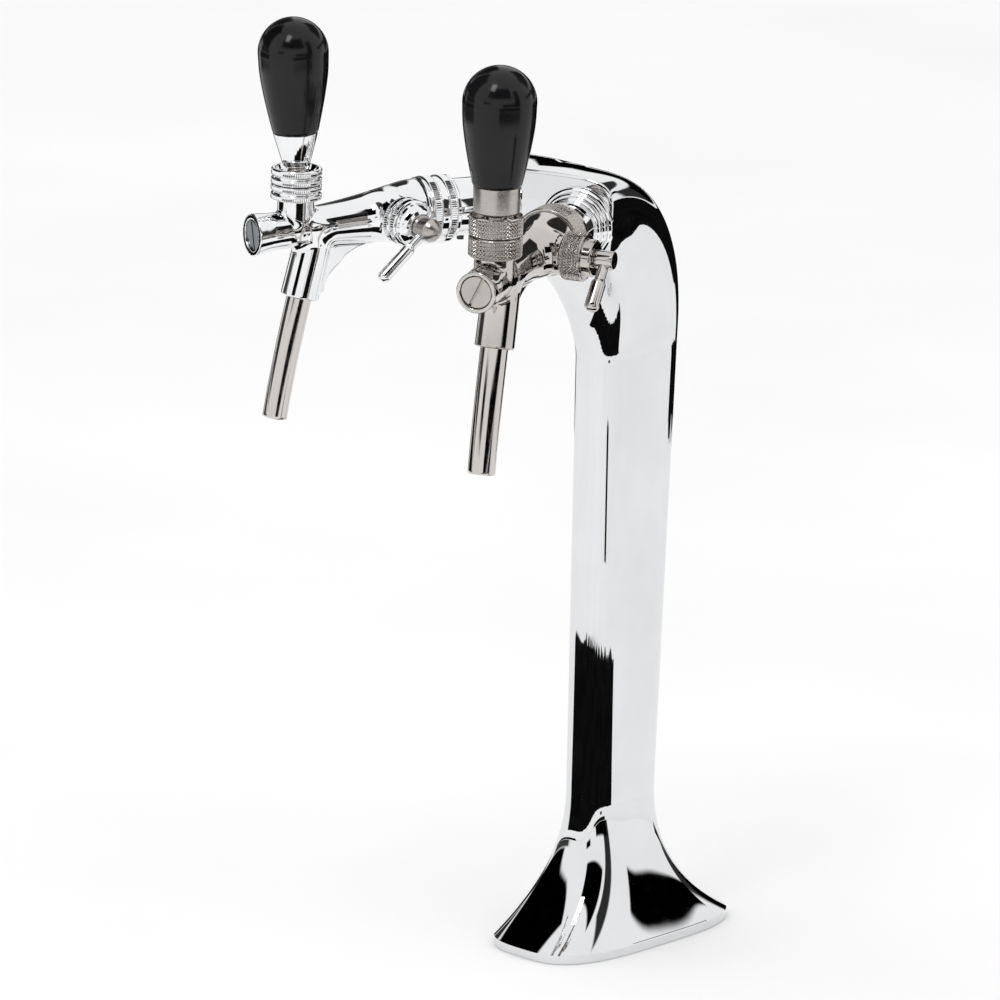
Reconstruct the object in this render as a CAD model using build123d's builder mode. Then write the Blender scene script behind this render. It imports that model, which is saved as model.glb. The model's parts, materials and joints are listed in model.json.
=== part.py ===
from build123d import *
import os
from math import cos, pi, radians, sin, tan

# Two-tap beer tower. Millimetres, +Z up, spouts towards -Y, origin at the middle of the
# foot's underside. "right" is +X. The left and right taps are two different patterns.

# ---------------------------------------------------------------- driving dimensions

# Column
FOOT_WIDTH = 75.0
FOOT_LENGTH = 146.6
FOOT_LIP = 5.0
FLARE_TOP = 80.0
SHAFT_WIDTH = 28.0
SHAFT_DEPTH = 59.0
SHAFT_TAPER = 0.042  # growth of the shaft's depth per millimetre of height
TAPER_LEVEL = 200.0  # height at which the shaft has its stated depth
SHAFT_Y = -4.7
NECK_START = 325.0
NECK_REACH = 73.0
HEAD_Z = 412.0
HEAD_WIDTH = 97.0
HEAD_HEIGHT = 52.0
CORNER_POWER = 3.6  # superellipse power of the shaft's section
FOOT_POWER = 3.2
HEAD_POWER = 5.0
WALL = 2.6
FACE_WALL = 4.0

# Where the taps leave the head
TAP_YAW = 20.7
FACE_X = 29.9
FACE_Y = -80.2

# Distances along a tap, measured forward from the head's slanting face
FLANGE_END = 11.0
SLEEVE_END = 27.0
NUT_BACK = 27.2
NUT_FRONT = 46.0
BODY_TAIL = 37.5
FLOW_CONTROL = 67.0
LEVER_AT = 116.0
BODY_FRONT = 141.0

# Along the valve bore, measured forward from the lever
VALVE_BACK = -30.0
VALVE_FRONT = 17.0
PLUG_FRONT = 24.4

# Radii and heights in a tap
SHANK_RADIUS = 8.0
SHANK_BORE = 4.0
SLEEVE_RADIUS = 15.3
NUT_RADIUS = 18.0
CHANNEL_RADIUS = 4.5
VALVE_RADIUS = 6.5
NECK_RADIUS = 11.0
NECK_BORE = 9.4
BALL_RADIUS = 5.5
FINGER_RADIUS = 1.8
FINGER_TIP = 2.6
ROD_RADIUS = 3.0
FIT = 0.08  # running clearance on a radius

os.makedirs("parts", exist_ok=True)


def save(part, label):
    part.label = label
    export_step(part, f"parts/{label}.step")


# ---------------------------------------------------------------- shared shapes


def turned(plane, outline):
    """Lathe a piece about the plane's X axis from (along, radius) points."""
    with BuildPart() as piece:
        with BuildSketch(plane):
            with BuildLine():
                Polyline(*outline, close=True)
            make_face()
        revolve(axis=Axis(plane.origin, plane.x_dir))
    return piece.part


def superellipse(plane, half_width, half_depth, power, count=24):
    """A rounded rectangle with slightly full sides, as one smooth closed curve."""
    points = []
    for step in range(count):
        angle = 2 * pi * (step + 0.5) / count
        c, s = cos(angle), sin(angle)
        x = half_width * abs(c) ** (2 / power) * (1 if c > 0 else -1)
        y = half_depth * abs(s) ** (2 / power) * (1 if s > 0 else -1)
        points.append((x, y))
    with BuildSketch(plane) as section:
        with BuildLine():
            Spline(*points, periodic=True)
        make_face()
    return section.sketch


def blend(a, b, t):
    return a + (b - a) * t


def shaft_half_depth(z):
    return SHAFT_DEPTH / 2 + SHAFT_TAPER / 2 * (z - TAPER_LEVEL)


def column_sections(inset, heights, turns, reaches):
    """Sections of the column from the foot to the front of the head, shrunk by inset."""
    sections = []
    for z in heights:
        t = max(0.0, (FLARE_TOP - z) / (FLARE_TOP - FOOT_LIP)) if z > FOOT_LIP else 1.0
        half_width = blend(SHAFT_WIDTH / 2, FOOT_WIDTH / 2, t**1.4)
        half_depth = blend(shaft_half_depth(z), FOOT_LENGTH / 2, t**2.6)
        middle = blend(SHAFT_Y, 0, t**2.6)
        power = blend(CORNER_POWER, FOOT_POWER, t)
        plane = Plane((0, middle, z), x_dir=(1, 0, 0), z_dir=(0, 0, 1))
        sections.append(superellipse(plane, half_width - inset, half_depth - inset, power))
    for turn in turns:
        angle = radians(turn)
        t = turn / 90
        rise = (HEAD_Z - NECK_START) * sin(angle)
        reach = NECK_REACH * (1 - cos(angle))
        ahead = (0, -NECK_REACH * sin(angle), (HEAD_Z - NECK_START) * cos(angle))
        half_width = blend(SHAFT_WIDTH / 2, HEAD_WIDTH / 2, t)
        half_depth = blend(shaft_half_depth(NECK_START), HEAD_HEIGHT / 2, t)
        power = blend(CORNER_POWER, HEAD_POWER, t)
        plane = Plane((0, SHAFT_Y - reach, NECK_START + rise), x_dir=(1, 0, 0), z_dir=ahead)
        sections.append(superellipse(plane, half_width - inset, half_depth - inset, power))
    for reach in reaches:
        y = SHAFT_Y - NECK_REACH - reach
        plane = Plane((0, y, HEAD_Z), x_dir=(1, 0, 0), z_dir=(0, -1, 0))
        section = superellipse(plane, HEAD_WIDTH / 2 - inset, HEAD_HEIGHT / 2 - inset, HEAD_POWER)
        sections.append(section)
    return sections


def forward(side):
    return Vector(side * sin(radians(TAP_YAW)), -cos(radians(TAP_YAW)), 0)


def rightward(side):
    return Vector(cos(radians(TAP_YAW)), side * sin(radians(TAP_YAW)), 0)


def spun(plane, direction, degrees):
    """The plane turned about a direction through its own origin."""
    pivot = Axis((0, 0, 0), direction)
    x_dir = plane.x_dir.rotate(pivot, degrees)
    return Plane(plane.origin, x_dir=x_dir, z_dir=plane.z_dir.rotate(pivot, degrees))


def spot(side, along, across=0.0, up=0.0):
    """A point given by its distances from the centre of the head's face."""
    face = Vector(side * FACE_X, FACE_Y, HEAD_Z)
    return face + forward(side) * along + rightward(side) * across + Vector(0, 0, up)


def tap_plane(side, along=0.0, up=0.0, dip=0.0):
    """X runs forward along the tap, Y upward; dip tips X downward by so many degrees."""
    level = Plane(spot(side, along, 0, up), x_dir=forward(side), z_dir=-rightward(side))
    return spun(level, level.z_dir, -dip)


def collar_plane(tap):
    """X runs straight up the neck from the lever's pivot."""
    pivot = spot(tap.side, LEVER_AT, 0, tap.pivot_up)
    return Plane(pivot, x_dir=(0, 0, 1), z_dir=rightward(tap.side))


def lever_plane(tap):
    """X runs up the lever from its pivot; the lever leans forward by a few degrees."""
    upright = collar_plane(tap)
    return spun(upright, upright.z_dir, tap.lean)


def control_plane(side, swing):
    """X runs out of the tap's right side along the flow control's spindle."""
    outward = rightward(side).rotate(Axis.Z, swing)
    origin = spot(side, FLOW_CONTROL, 0, 0.5)
    return Plane(origin, x_dir=outward, z_dir=outward.cross(Vector(0, 0, 1)))


# ---------------------------------------------------------------- column

FLARE_HEIGHTS = [FOOT_LIP, 7, 9, 12, 15, 19, 24, 30, 36, 43, 50, 58, 66, 73, FLARE_TOP]
SHAFT_HEIGHTS = [140, 200, 260]
NECK_TURNS = range(0, 91, 6)
HEAD_REACHES = [24]


def column_form(inset, bottom, setback):
    """The column filled solid, its front cut off at the two slanting faces."""
    heights = [bottom] + FLARE_HEIGHTS + SHAFT_HEIGHTS
    with BuildPart() as form:
        loft(column_sections(inset, heights, NECK_TURNS, HEAD_REACHES), ruled=True)
        for side in (-1, 1):
            split(bisect_by=Plane(spot(side, -setback), z_dir=-forward(side)), keep=Keep.TOP)
    return form.part


outer_form = column_form(0, 0, 0)

SCREW_X = 14.0
SCREW_Y = 54.0
RING_TOP = 5.0

with BuildPart() as boss_form:
    with BuildSketch(Plane.XY.offset(RING_TOP)):
        with GridLocations(2 * SCREW_X, 2 * SCREW_Y, 2, 2):
            Circle(4.5)
    extrude(amount=60)
    add(outer_form, mode=Mode.INTERSECT)

with BuildPart() as column_shell:
    add(outer_form)
    add(column_form(WALL, -2, FACE_WALL), mode=Mode.SUBTRACT)
    add(boss_form.part)
    with Locations(Plane.XY.offset(RING_TOP)):
        with GridLocations(2 * SCREW_X, 2 * SCREW_Y, 2, 2):
            Cylinder(1.9, 9, align=(Align.CENTER, Align.CENTER, Align.MIN), mode=Mode.SUBTRACT)
    for side in (-1, 1):
        with Locations(Plane(spot(side, -8), z_dir=forward(side))):
            Cylinder(SHANK_RADIUS + 0.2, 20, mode=Mode.SUBTRACT)
save(column_shell.part, "column_shell")

# ---------------------------------------------------------------- foot

RING_INSET = WALL + 4.6  # clear of the flare, which narrows as it rises
GASKET_INSET = WALL + 0.4
GASKET_HEIGHT = 2.2
STUD_SPACING_X = 42.0
STUD_SPACING_Y = 60.0
THREAD_HOLE = 3.4  # radius of an M8 tapping hole
HATCH_WIDTH = 22.0
HATCH_LENGTH = 60.0


def foot_outline(inset):
    return superellipse(Plane.XY, FOOT_WIDTH / 2 - inset, FOOT_LENGTH / 2 - inset, FOOT_POWER)


with BuildPart() as base_ring:
    add(foot_outline(RING_INSET))
    extrude(amount=RING_TOP)
    with BuildSketch():
        SlotOverall(HATCH_LENGTH, HATCH_WIDTH, rotation=90)
    extrude(amount=RING_TOP, mode=Mode.SUBTRACT)
    with Locations(Plane.XY.offset(RING_TOP)):
        with GridLocations(STUD_SPACING_X, STUD_SPACING_Y, 2, 2):
            Hole(THREAD_HOLE)
    with Locations(Plane.XY.rotated((180, 0, 0))):
        with GridLocations(2 * SCREW_X, 2 * SCREW_Y, 2, 2):
            CounterSinkHole(2.3, 4.6)
save(base_ring.part, "base_ring")

with BuildPart() as base_gasket:
    add(foot_outline(GASKET_INSET))
    extrude(amount=GASKET_HEIGHT)
    add(foot_outline(RING_INSET - 0.2))
    extrude(amount=GASKET_HEIGHT, mode=Mode.SUBTRACT)
save(base_gasket.part, "base_gasket")

SCREW_END = 12.0

with BuildPart() as base_screws:
    with BuildSketch(Plane.XZ):
        with BuildLine():
            Polyline((0, 0), (4.1, 0), (2.0, 2.3), (2.0, RING_TOP))
            Polyline((2.0, RING_TOP), (1.8, RING_TOP), (1.8, SCREW_END), (0, SCREW_END), (0, 0))
        make_face()
    revolve(axis=Axis.Z)
    with BuildSketch():
        RegularPolygon(1.6, 6)
    extrude(amount=1.4, mode=Mode.SUBTRACT)
screw_group = [
    base_screws.part.moved(Location((x * SCREW_X, y * SCREW_Y, 0)))
    for x in (-1, 1)
    for y in (-1, 1)
]
save(Compound(children=screw_group), "base_screws")

# ---------------------------------------------------------------- lines inside the column

LINE_RADIUS = 4.0
LINE_BORE = 2.6
COOLANT_RADIUS = 4.0
LINE_X = 5.2
LINE_BOTTOM = 9.0

for side, name in ((-1, "left"), (1, "right")):
    with BuildPart() as beer_line:
        with BuildLine() as route:
            bottom = Vector(side * LINE_X, -12, LINE_BOTTOM)
            knee = Vector(side * LINE_X, -12, 313)
            FilletPolyline(bottom, knee, spot(side, -62), spot(side, -42.5), radius=[60, 16])
        start = Plane(route.line @ 0, z_dir=route.line % 0)
        with BuildSketch(start):
            Circle(LINE_RADIUS)
            Circle(LINE_BORE, mode=Mode.SUBTRACT)
        sweep(path=route.line)
    save(beer_line.part, f"beer_line_{name}")

with BuildPart() as cooling_loop:
    with BuildLine() as route:
        FilletPolyline(
            (-LINE_X, 8, LINE_BOTTOM),
            (-LINE_X, 8, 352),
            (LINE_X, 8, 352),
            (LINE_X, 8, LINE_BOTTOM),
            radius=5.1,
        )
    start = Plane(route.line @ 0, z_dir=route.line % 0)
    with BuildSketch(start):
        Circle(COOLANT_RADIUS)
        Circle(LINE_BORE, mode=Mode.SUBTRACT)
    sweep(path=route.line)
save(cooling_loop.part, "cooling_loop")

FOAM_BOTTOM = 90.0
FOAM_TOP = 305.0

with BuildPart() as foam_core:
    foam_sections = []
    for z in (FOAM_BOTTOM, 170, 250, FOAM_TOP):
        plane = Plane.XY.offset(z).move(Location((0, SHAFT_Y, 0)))
        half_depth = shaft_half_depth(z) - WALL - 0.4
        half_width = SHAFT_WIDTH / 2 - WALL - 0.4
        foam_sections.append(superellipse(plane, half_width, half_depth, CORNER_POWER))
    loft(foam_sections)
    with BuildSketch(Plane.XY.offset(FOAM_BOTTOM)):
        with Locations((-LINE_X, -12), (LINE_X, -12), (-LINE_X, 8), (LINE_X, 8)):
            Circle(LINE_RADIUS + 0.1)
    extrude(amount=FOAM_TOP - FOAM_BOTTOM, mode=Mode.SUBTRACT)
save(foam_core.part, "foam_core")

# ---------------------------------------------------------------- through the head

for side, name in ((-1, "left"), (1, "right")):
    plane = tap_plane(side)
    bore = SHANK_RADIUS + 0.15
    steps = [(0, bore), (0, 20.2), (3.2, 20.2), (4.0, 19.4), (4.0, 18.2), (6.8, 18.2)]
    steps += [(7.6, 17.4), (7.6, 16.6), (10.2, 16.6), (FLANGE_END, 15.8), (FLANGE_END, bore)]
    save(turned(plane, steps), f"flange_{name}")

    sleeve = [(FLANGE_END, bore), (FLANGE_END, SLEEVE_RADIUS)]
    sleeve += [(SLEEVE_END - 0.5, SLEEVE_RADIUS), (SLEEVE_END, SLEEVE_RADIUS - 0.5)]
    sleeve += [(SLEEVE_END, bore)]
    with BuildPart() as sleeve_part:
        add(turned(plane, sleeve))
        with Locations(Plane(spot(side, 19.5, 0, -SLEEVE_RADIUS - 1), z_dir=(0, 0, 1))):
            Cylinder(2.0, 14, mode=Mode.SUBTRACT)
    save(sleeve_part.part, f"sleeve_{name}")

    with BuildPart() as set_screw:
        with BuildSketch(Plane(spot(side, 19.5, 0, -SLEEVE_RADIUS - 2.2), z_dir=(0, 0, 1))):
            Circle(1.9)
            RegularPolygon(1.1, 6, mode=Mode.SUBTRACT)
        extrude(amount=6)
    save(set_screw.part, f"set_screw_{name}")

    shank = [(-34, SHANK_BORE), (-34, SHANK_RADIUS - 0.8), (-33.2, SHANK_RADIUS)]
    shank += [(SLEEVE_END, SHANK_RADIUS), (SLEEVE_END, 13.4), (36, 13.4), (36, SHANK_BORE)]
    save(turned(plane, shank), f"shank_{name}")

    seal = [(36, SHANK_BORE + 0.5), (36, 11.5), (BODY_TAIL, 11.5), (BODY_TAIL, SHANK_BORE + 0.5)]
    save(turned(plane, seal), f"ring_seal_{name}")

    snap_ring = [(38.6, 10.7), (38.6, 13.0), (40.0, 13.0), (40.0, 10.7)]
    save(turned(plane, snap_ring), f"retaining_ring_{name}")

    nut = [(NUT_BACK, 13.6), (NUT_BACK, 17.0), (28.0, 17.6), (29.6, 17.6), (29.6, NUT_RADIUS)]
    nut += [(35.0, NUT_RADIUS), (35.0, 17.2), (38.6, 17.2), (38.6, NUT_RADIUS)]
    nut += [(44.0, NUT_RADIUS), (44.0, 17.4), (45.2, 17.4), (NUT_FRONT, 16.6)]
    nut += [(NUT_FRONT, 11.8), (40.2, 11.8), (40.2, 13.6)]
    with BuildPart() as ring_nut:
        add(turned(plane, nut))
        for step in range(6):
            hole = Plane(spot(side, 36.8), x_dir=forward(side), z_dir=(0, 0, 1))
            with Locations(spun(hole, hole.x_dir, 60 * step + 30).offset(17)):
                Cylinder(1.5, 4.5, mode=Mode.SUBTRACT)
    save(ring_nut.part, f"ring_nut_{name}")

    with BuildPart() as shank_locknut:
        with BuildSketch(Plane(spot(side, -FACE_WALL), z_dir=-forward(side))):
            RegularPolygon(12.0, 6)
            Circle(SHANK_RADIUS + 0.05, mode=Mode.SUBTRACT)
        extrude(amount=6)
    save(shank_locknut.part, f"shank_locknut_{name}")

    with BuildPart() as tail_nut:
        with BuildSketch(Plane(spot(side, -34.5), z_dir=-forward(side))):
            RegularPolygon(9.6, 6)
        extrude(amount=-9)
        with BuildSketch(Plane(spot(side, -34.5), z_dir=-forward(side))):
            Circle(SHANK_RADIUS + 0.05)
        extrude(amount=-9, mode=Mode.SUBTRACT)
        with BuildSketch(Plane(spot(side, -34), z_dir=-forward(side))):
            Circle(9.0)
        extrude(amount=6, taper=20)
        with BuildSketch(Plane(spot(side, -34), z_dir=-forward(side))):
            Circle(LINE_RADIUS + 0.1)
        extrude(amount=8, mode=Mode.SUBTRACT)
    save(tail_nut.part, f"tail_nut_{name}")

# ---------------------------------------------------------------- the two tap patterns


class Pattern:
    """Measurements in which the left and right taps differ."""

    def __init__(self, **values):
        self.__dict__.update(values)


# Outlines along the neck and the lever count from the pivot, those of the flow control
# from the tap's centre line: each is a list of (along, radius) points.
LEFT = Pattern(
    name="left",
    side=-1,
    lean=3.4,
    pivot_up=24.7,
    barrel_radius=10.0,
    rim_radius=11.4,
    plug_radius=8.1,
    slot_angle=8,
    housing_top=9.4,
    housing_end=10.0,
    spout_radius=6.5,
    control_swing=10.0,
    boss_radius=10.4,
    control_nut=[(20, 12.0), (20.5, 12.8), (24.2, 12.8), (24.6, 11.8), (25.6, 11.8), (26.0, 12.8)]
    + [(29.6, 12.8), (30.2, 12.0), (30.4, 10.9), (33.0, 10.6), (35.2, 9.4), (36.6, 7.4)],
    control_hub=[(37.0, 5.6), (37.6, 6.2), (46.6, 6.2), (51.0, 2.6), (51.6, 0)],
    control_droop=40.0,
    lever_at=42.0,
    control_lever_radius=3.4,
    control_lever_length=37.5,
    collar_lower=[(-12.7, 12.4), (-12.2, 13.4), (-9.6, 13.4), (-9.2, 12.6), (-8.2, 12.6)]
    + [(-7.8, 13.4), (-5.2, 13.4), (-4.7, 12.4)],
    collar_upper=[(-4.4, 12.4), (-3.9, 13.4), (-1.3, 13.4), (-0.9, 12.6), (0.1, 12.6)]
    + [(0.5, 13.4), (3.2, 13.4), (4.0, 12.6), (4.0, 11.2), (0.9, 10.2)],
    ferrule=[(4.8, 5.6), (5.2, 7.0), (23.1, 11.9)],
    ferrule_mouth=3.4,
    knob_radius=18.5,
    knob_length=60.9,
    knob_foot=12.0,
)
RIGHT = Pattern(
    name="right",
    side=1,
    lean=0.4,
    pivot_up=27.1,
    barrel_radius=10.6,
    rim_radius=10.9,
    plug_radius=8.4,
    slot_angle=-26,
    housing_top=9.8,
    housing_end=10.3,
    spout_radius=7.2,
    control_swing=0.0,
    boss_radius=11.0,
    control_nut=[(20, 12.0), (20.8, 12.8), (30.8, 12.8), (31.4, 12.0), (31.6, 9.8), (35.8, 9.8)]
    + [(36.4, 9.0)],
    control_hub=[(36.8, 4.4), (37.2, 4.9), (46.4, 4.9), (46.8, 4.5), (46.8, 0)],
    control_droop=50.0,
    lever_at=41.8,
    control_lever_radius=3.9,
    control_lever_length=30.0,
    collar_lower=[(-19.0, 13.2), (-18.3, 14.0), (-8.7, 14.0), (-8.0, 13.2)],
    collar_upper=[(-7.7, 13.2), (-7.0, 14.0), (2.3, 14.0), (2.9, 13.7), (2.9, 13.5)]
    + [(-0.9, 12.9)],
    ferrule=[(3.2, 8.0), (4.4, 11.5), (4.8, 12.0), (18.2, 12.2)],
    ferrule_mouth=4.7,
    knob_radius=19.2,
    knob_length=62.4,
    knob_foot=12.8,
)


def centre_height(along):
    """Height of the body's centre line, which falls slightly towards the front."""
    return -6.1 * max(0.0, (along - 50) / (BODY_FRONT - 50)) ** 1.25


def valve_plane(side):
    """X runs forward along the valve bore from below the lever."""
    return tap_plane(side, LEVER_AT, centre_height(LEVER_AT), 4.5)


SPOUT_TILT = 13.0
SPOUT_AT = 104.0  # where the spout housing's axis meets the valve bore
SPOUT_UP = -4.0
HOUSING_LENGTH = 38.3
SPOUT_SOCKET = 14.0  # depth of the socket that holds the spout tube


def spout_plane(side, down):
    """Z runs down the spout housing, which slants forward."""
    slant = radians(SPOUT_TILT)
    axis = forward(side) * sin(slant) - Vector(0, 0, cos(slant))
    start = spot(side, SPOUT_AT, 0, SPOUT_UP)
    return Plane(start + axis * down, x_dir=rightward(side), z_dir=axis)


def web_outline(tap):
    """Side view of the web between the spout housing and the body."""
    heel = 111.0 - tap.housing_end
    bottom = SPOUT_UP - HOUSING_LENGTH * cos(radians(SPOUT_TILT)) + 1.0
    underside = [(heel, bottom), (heel - 3, bottom + 0.6), (94.5, -26), (88.5, -18)]
    return [(104, -6)] + underside + [(72, -13), (72, -4)]


def tap_body(tap):
    side = tap.side
    stations = [(46.3, 16.8), (52, 16.6), (60, 15.4), (70, 13.7), (82, 12.0)]
    stations += [(95, tap.barrel_radius + 0.7), (108, tap.barrel_radius), (122, tap.barrel_radius)]
    stations += [(133, tap.barrel_radius + 0.2), (138, tap.rim_radius - 0.5), (BODY_FRONT, tap.rim_radius)]
    with BuildPart() as body:
        for along, radius in stations:
            centre = spot(side, along, 0, centre_height(along))
            with BuildSketch(Plane(centre, x_dir=rightward(side), z_dir=forward(side))):
                Circle(radius)
        loft()
        # tail inside the ring nut
        add(turned(tap_plane(side), [(BODY_TAIL, 0), (BODY_TAIL, 11.6), (46.6, 11.6), (46.6, 0)]))
        # neck under the collars
        with BuildSketch(Plane(spot(side, LEVER_AT, 0, -3))):
            Circle(NECK_RADIUS)
        extrude(amount=tap.pivot_up + 3 - 1.4)
        # boss of the flow control
        boss = [(0, 0), (0, 11.8), (12, 11.4), (19.7, tap.boss_radius), (19.7, 0)]
        add(turned(control_plane(side, tap.control_swing), boss))
        # spout housing
        with BuildSketch(spout_plane(side, 0)):
            Circle(tap.housing_top)
        with BuildSketch(spout_plane(side, HOUSING_LENGTH)):
            Circle(tap.housing_end)
        loft()
        # web behind the spout housing
        with BuildSketch(tap_plane(side)):
            with BuildLine():
                Polyline(*web_outline(tap), close=True)
            make_face()
        extrude(amount=3.6, both=True)
        # groove for the retaining ring
        groove = [(38.5, 10.6), (38.5, 12), (40.1, 12), (40.1, 10.6)]
        add(turned(tap_plane(side), groove), mode=Mode.SUBTRACT)
        # inlet, valve bore and front opening
        inlet_end = LEVER_AT + VALVE_BACK + 1
        inlet = [(BODY_TAIL, 0), (BODY_TAIL, CHANNEL_RADIUS), (inlet_end, CHANNEL_RADIUS), (inlet_end, 0)]
        add(turned(tap_plane(side), inlet), mode=Mode.SUBTRACT)
        valve = [(VALVE_BACK, 0), (VALVE_BACK, VALVE_RADIUS), (VALVE_FRONT, VALVE_RADIUS)]
        valve += [(VALVE_FRONT, tap.plug_radius + 0.1), (28, tap.plug_radius + 0.1), (28, 0)]
        add(turned(valve_plane(side), valve), mode=Mode.SUBTRACT)
        # neck bore, then the slot in which the finger swings
        with BuildSketch(Plane(spot(side, LEVER_AT, 0, 6))):
            Circle(NECK_BORE)
        extrude(amount=40, mode=Mode.SUBTRACT)
        with BuildSketch(Plane(spot(side, LEVER_AT - 2.8, 0, -4), x_dir=forward(side), z_dir=(0, 0, 1))):
            SlotOverall(16, 7)
        extrude(amount=10.2, mode=Mode.SUBTRACT)
        # port and socket of the spout
        with BuildSketch(spout_plane(side, 0)):
            Circle(4.6)
        extrude(amount=20, mode=Mode.SUBTRACT)
        with BuildSketch(spout_plane(side, HOUSING_LENGTH - SPOUT_SOCKET)):
            Circle(tap.spout_radius + 0.05)
        extrude(amount=SPOUT_SOCKET + 6, mode=Mode.SUBTRACT)
        # tapered bore of the flow control
        control_bore = [(-7, 0), (-7, 6.0), (19.9, 7.4), (19.9, 0)]
        add(turned(control_plane(side, tap.control_swing), control_bore), mode=Mode.SUBTRACT)
    return body.part


def front_plug(tap):
    plane = valve_plane(tap.side)
    outline = [(15.5, 0), (15.5, 6.3), (18.2, 6.3), (18.2, tap.plug_radius)]
    outline += [(PLUG_FRONT - 0.4, tap.plug_radius), (PLUG_FRONT, tap.plug_radius - 0.4), (PLUG_FRONT, 0)]
    face = Plane(plane.origin + plane.x_dir * PLUG_FRONT, x_dir=plane.z_dir, z_dir=plane.x_dir)
    with BuildPart() as plug:
        add(turned(plane, outline))
        with BuildSketch(spun(face, face.z_dir, tap.slot_angle)):
            Rectangle(1.3, 2 * tap.plug_radius + 1)
        extrude(amount=-1.6, mode=Mode.SUBTRACT)
    return plug.part


def collar(tap, outline, bore):
    return turned(collar_plane(tap), outline + bore)


def lever(tap):
    """Rod with a ball at the pivot and a small ball that drives the piston."""
    plane = lever_plane(tap)
    reach = tap.pivot_up - centre_height(LEVER_AT)
    rod_top = tap.ferrule[-1][0] + 18
    rod = [(-reach, 0), (-reach, FINGER_RADIUS), (-4, FINGER_RADIUS), (0, ROD_RADIUS)]
    rod += [(rod_top, ROD_RADIUS), (rod_top, 0)]
    with BuildPart() as rod_part:
        add(turned(plane, rod))
        with Locations(plane.origin):
            Sphere(BALL_RADIUS)
        with Locations(plane.origin - plane.x_dir * reach):
            Sphere(FINGER_TIP)
    return rod_part.part


def knob(tap):
    """Bell-shaped grip with a hemispherical top, bored for the lever's rod."""
    plane = lever_plane(tap)
    foot = tap.ferrule[-1][0] + 0.2
    shoulder = foot + tap.knob_length - tap.knob_radius
    top = foot + tap.knob_length
    with BuildPart() as grip:
        with BuildSketch(plane):
            with BuildLine():
                Line((foot + 18.2, 0), (foot + 18.2, ROD_RADIUS + 0.05))
                Line((foot + 18.2, ROD_RADIUS + 0.05), (foot, ROD_RADIUS + 0.05))
                Line((foot, ROD_RADIUS + 0.05), (foot, tap.knob_foot))
                middle = (blend(foot, shoulder, 0.5), blend(tap.knob_foot, tap.knob_radius, 0.66))
                ends = (foot, tap.knob_foot), (shoulder, tap.knob_radius)
                Spline(ends[0], middle, ends[1], tangents=((1, 0.16), (1, 0)))
                crown = (shoulder + tap.knob_radius * sin(pi / 4), tap.knob_radius * cos(pi / 4))
                ThreePointArc((shoulder, tap.knob_radius), crown, (top, 0))
                Line((top, 0), (foot + 18.2, 0))
            make_face()
        revolve(axis=Axis(plane.origin, plane.x_dir))
    return grip.part


def piston(tap):
    """Valve spool: a funnel-shaped slot takes the lever's finger and passes the beer."""
    plane = valve_plane(tap.side)
    radius = VALVE_RADIUS - FIT
    outline = [(-20, 2.2), (-20, radius)]
    for groove in PISTON_GROOVES:
        before, after = groove - 0.9, groove + 0.9
        outline += [(before, radius), (before, 5.0), (after, 5.0), (after, radius)]
    outline += [(11.5, radius), (11.5, 0), (-4, 0), (-4, 2.2)]
    tip = -(tap.pivot_up - centre_height(LEVER_AT)) * tan(radians(tap.lean))
    with BuildPart() as spool:
        add(turned(plane, outline))
        with BuildSketch(plane):
            with BuildLine():
                Polyline((tip - 3.2, -8), (tip - 3.2, -1), (tip - 3.8, 8), close=False)
                Polyline((tip - 3.8, 8), (tip + 6.6, 8), (tip + 3.2, -1), (tip + 3.2, -8), (tip - 3.2, -8))
            make_face()
        extrude(amount=2.9, both=True, mode=Mode.SUBTRACT)
    return spool.part


PISTON_GROOVES = (-17.5, 9.0)


def piston_rings(tap):
    plane = valve_plane(tap.side)
    rings = []
    for groove in PISTON_GROOVES:
        with BuildPart() as ring:
            with BuildSketch(plane):
                with Locations((groove, 5.74)):
                    Circle(0.7)
            revolve(axis=Axis(plane.origin, plane.x_dir))
        rings.append(ring.part)
    return Compound(children=rings)


def spout_tube(tap):
    """Outlet tube, bent slightly back towards the vertical on its way down."""
    start = spout_plane(tap.side, HOUSING_LENGTH - SPOUT_SOCKET + 0.2)
    with BuildPart() as tube:
        with BuildLine() as route:
            first = Line(start.origin, start.origin + start.z_dir * 16)
            slant = radians(SPOUT_TILT - 4)
            down = forward(tap.side) * sin(slant) - Vector(0, 0, cos(slant))
            bend = start.origin + start.z_dir * 45
            TangentArc(first @ 1, bend + down * 34, tangent=first % 1)
        with BuildSketch(start):
            Circle(tap.spout_radius)
            Circle(tap.spout_radius - 1.0, mode=Mode.SUBTRACT)
        sweep(path=route.line)
    return tube.part


def control_nut(tap):
    plane = control_plane(tap.side, tap.control_swing)
    bore = [(tap.control_nut[-1][0], 4.2), (20, 4.2)]
    return turned(plane, tap.control_nut + bore)


def control_plug(tap):
    """Tapered plug whose cross hole throttles the flow; it turns with the spindle."""
    plane = control_plane(tap.side, tap.control_swing)
    across = Plane(plane.origin, z_dir=plane.z_dir)
    outline = [(-6.6, 0), (-6.6, 5.9), (19.6, 7.25), (19.6, 0)]
    with BuildPart() as plug:
        add(turned(plane, outline))
        with Locations(across):
            Cylinder(4.0, 40, rotation=(0, 0, 0), mode=Mode.SUBTRACT)
    return plug.part


def control_hub(tap):
    """Hub outside the knurled nut, in one piece with the spindle that runs through it."""
    plane = control_plane(tap.side, tap.control_swing)
    start = tap.control_hub[0][0]
    return turned(plane, [(19.6, 0), (19.6, 4.1), (start, 4.1)] + tap.control_hub)


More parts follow.
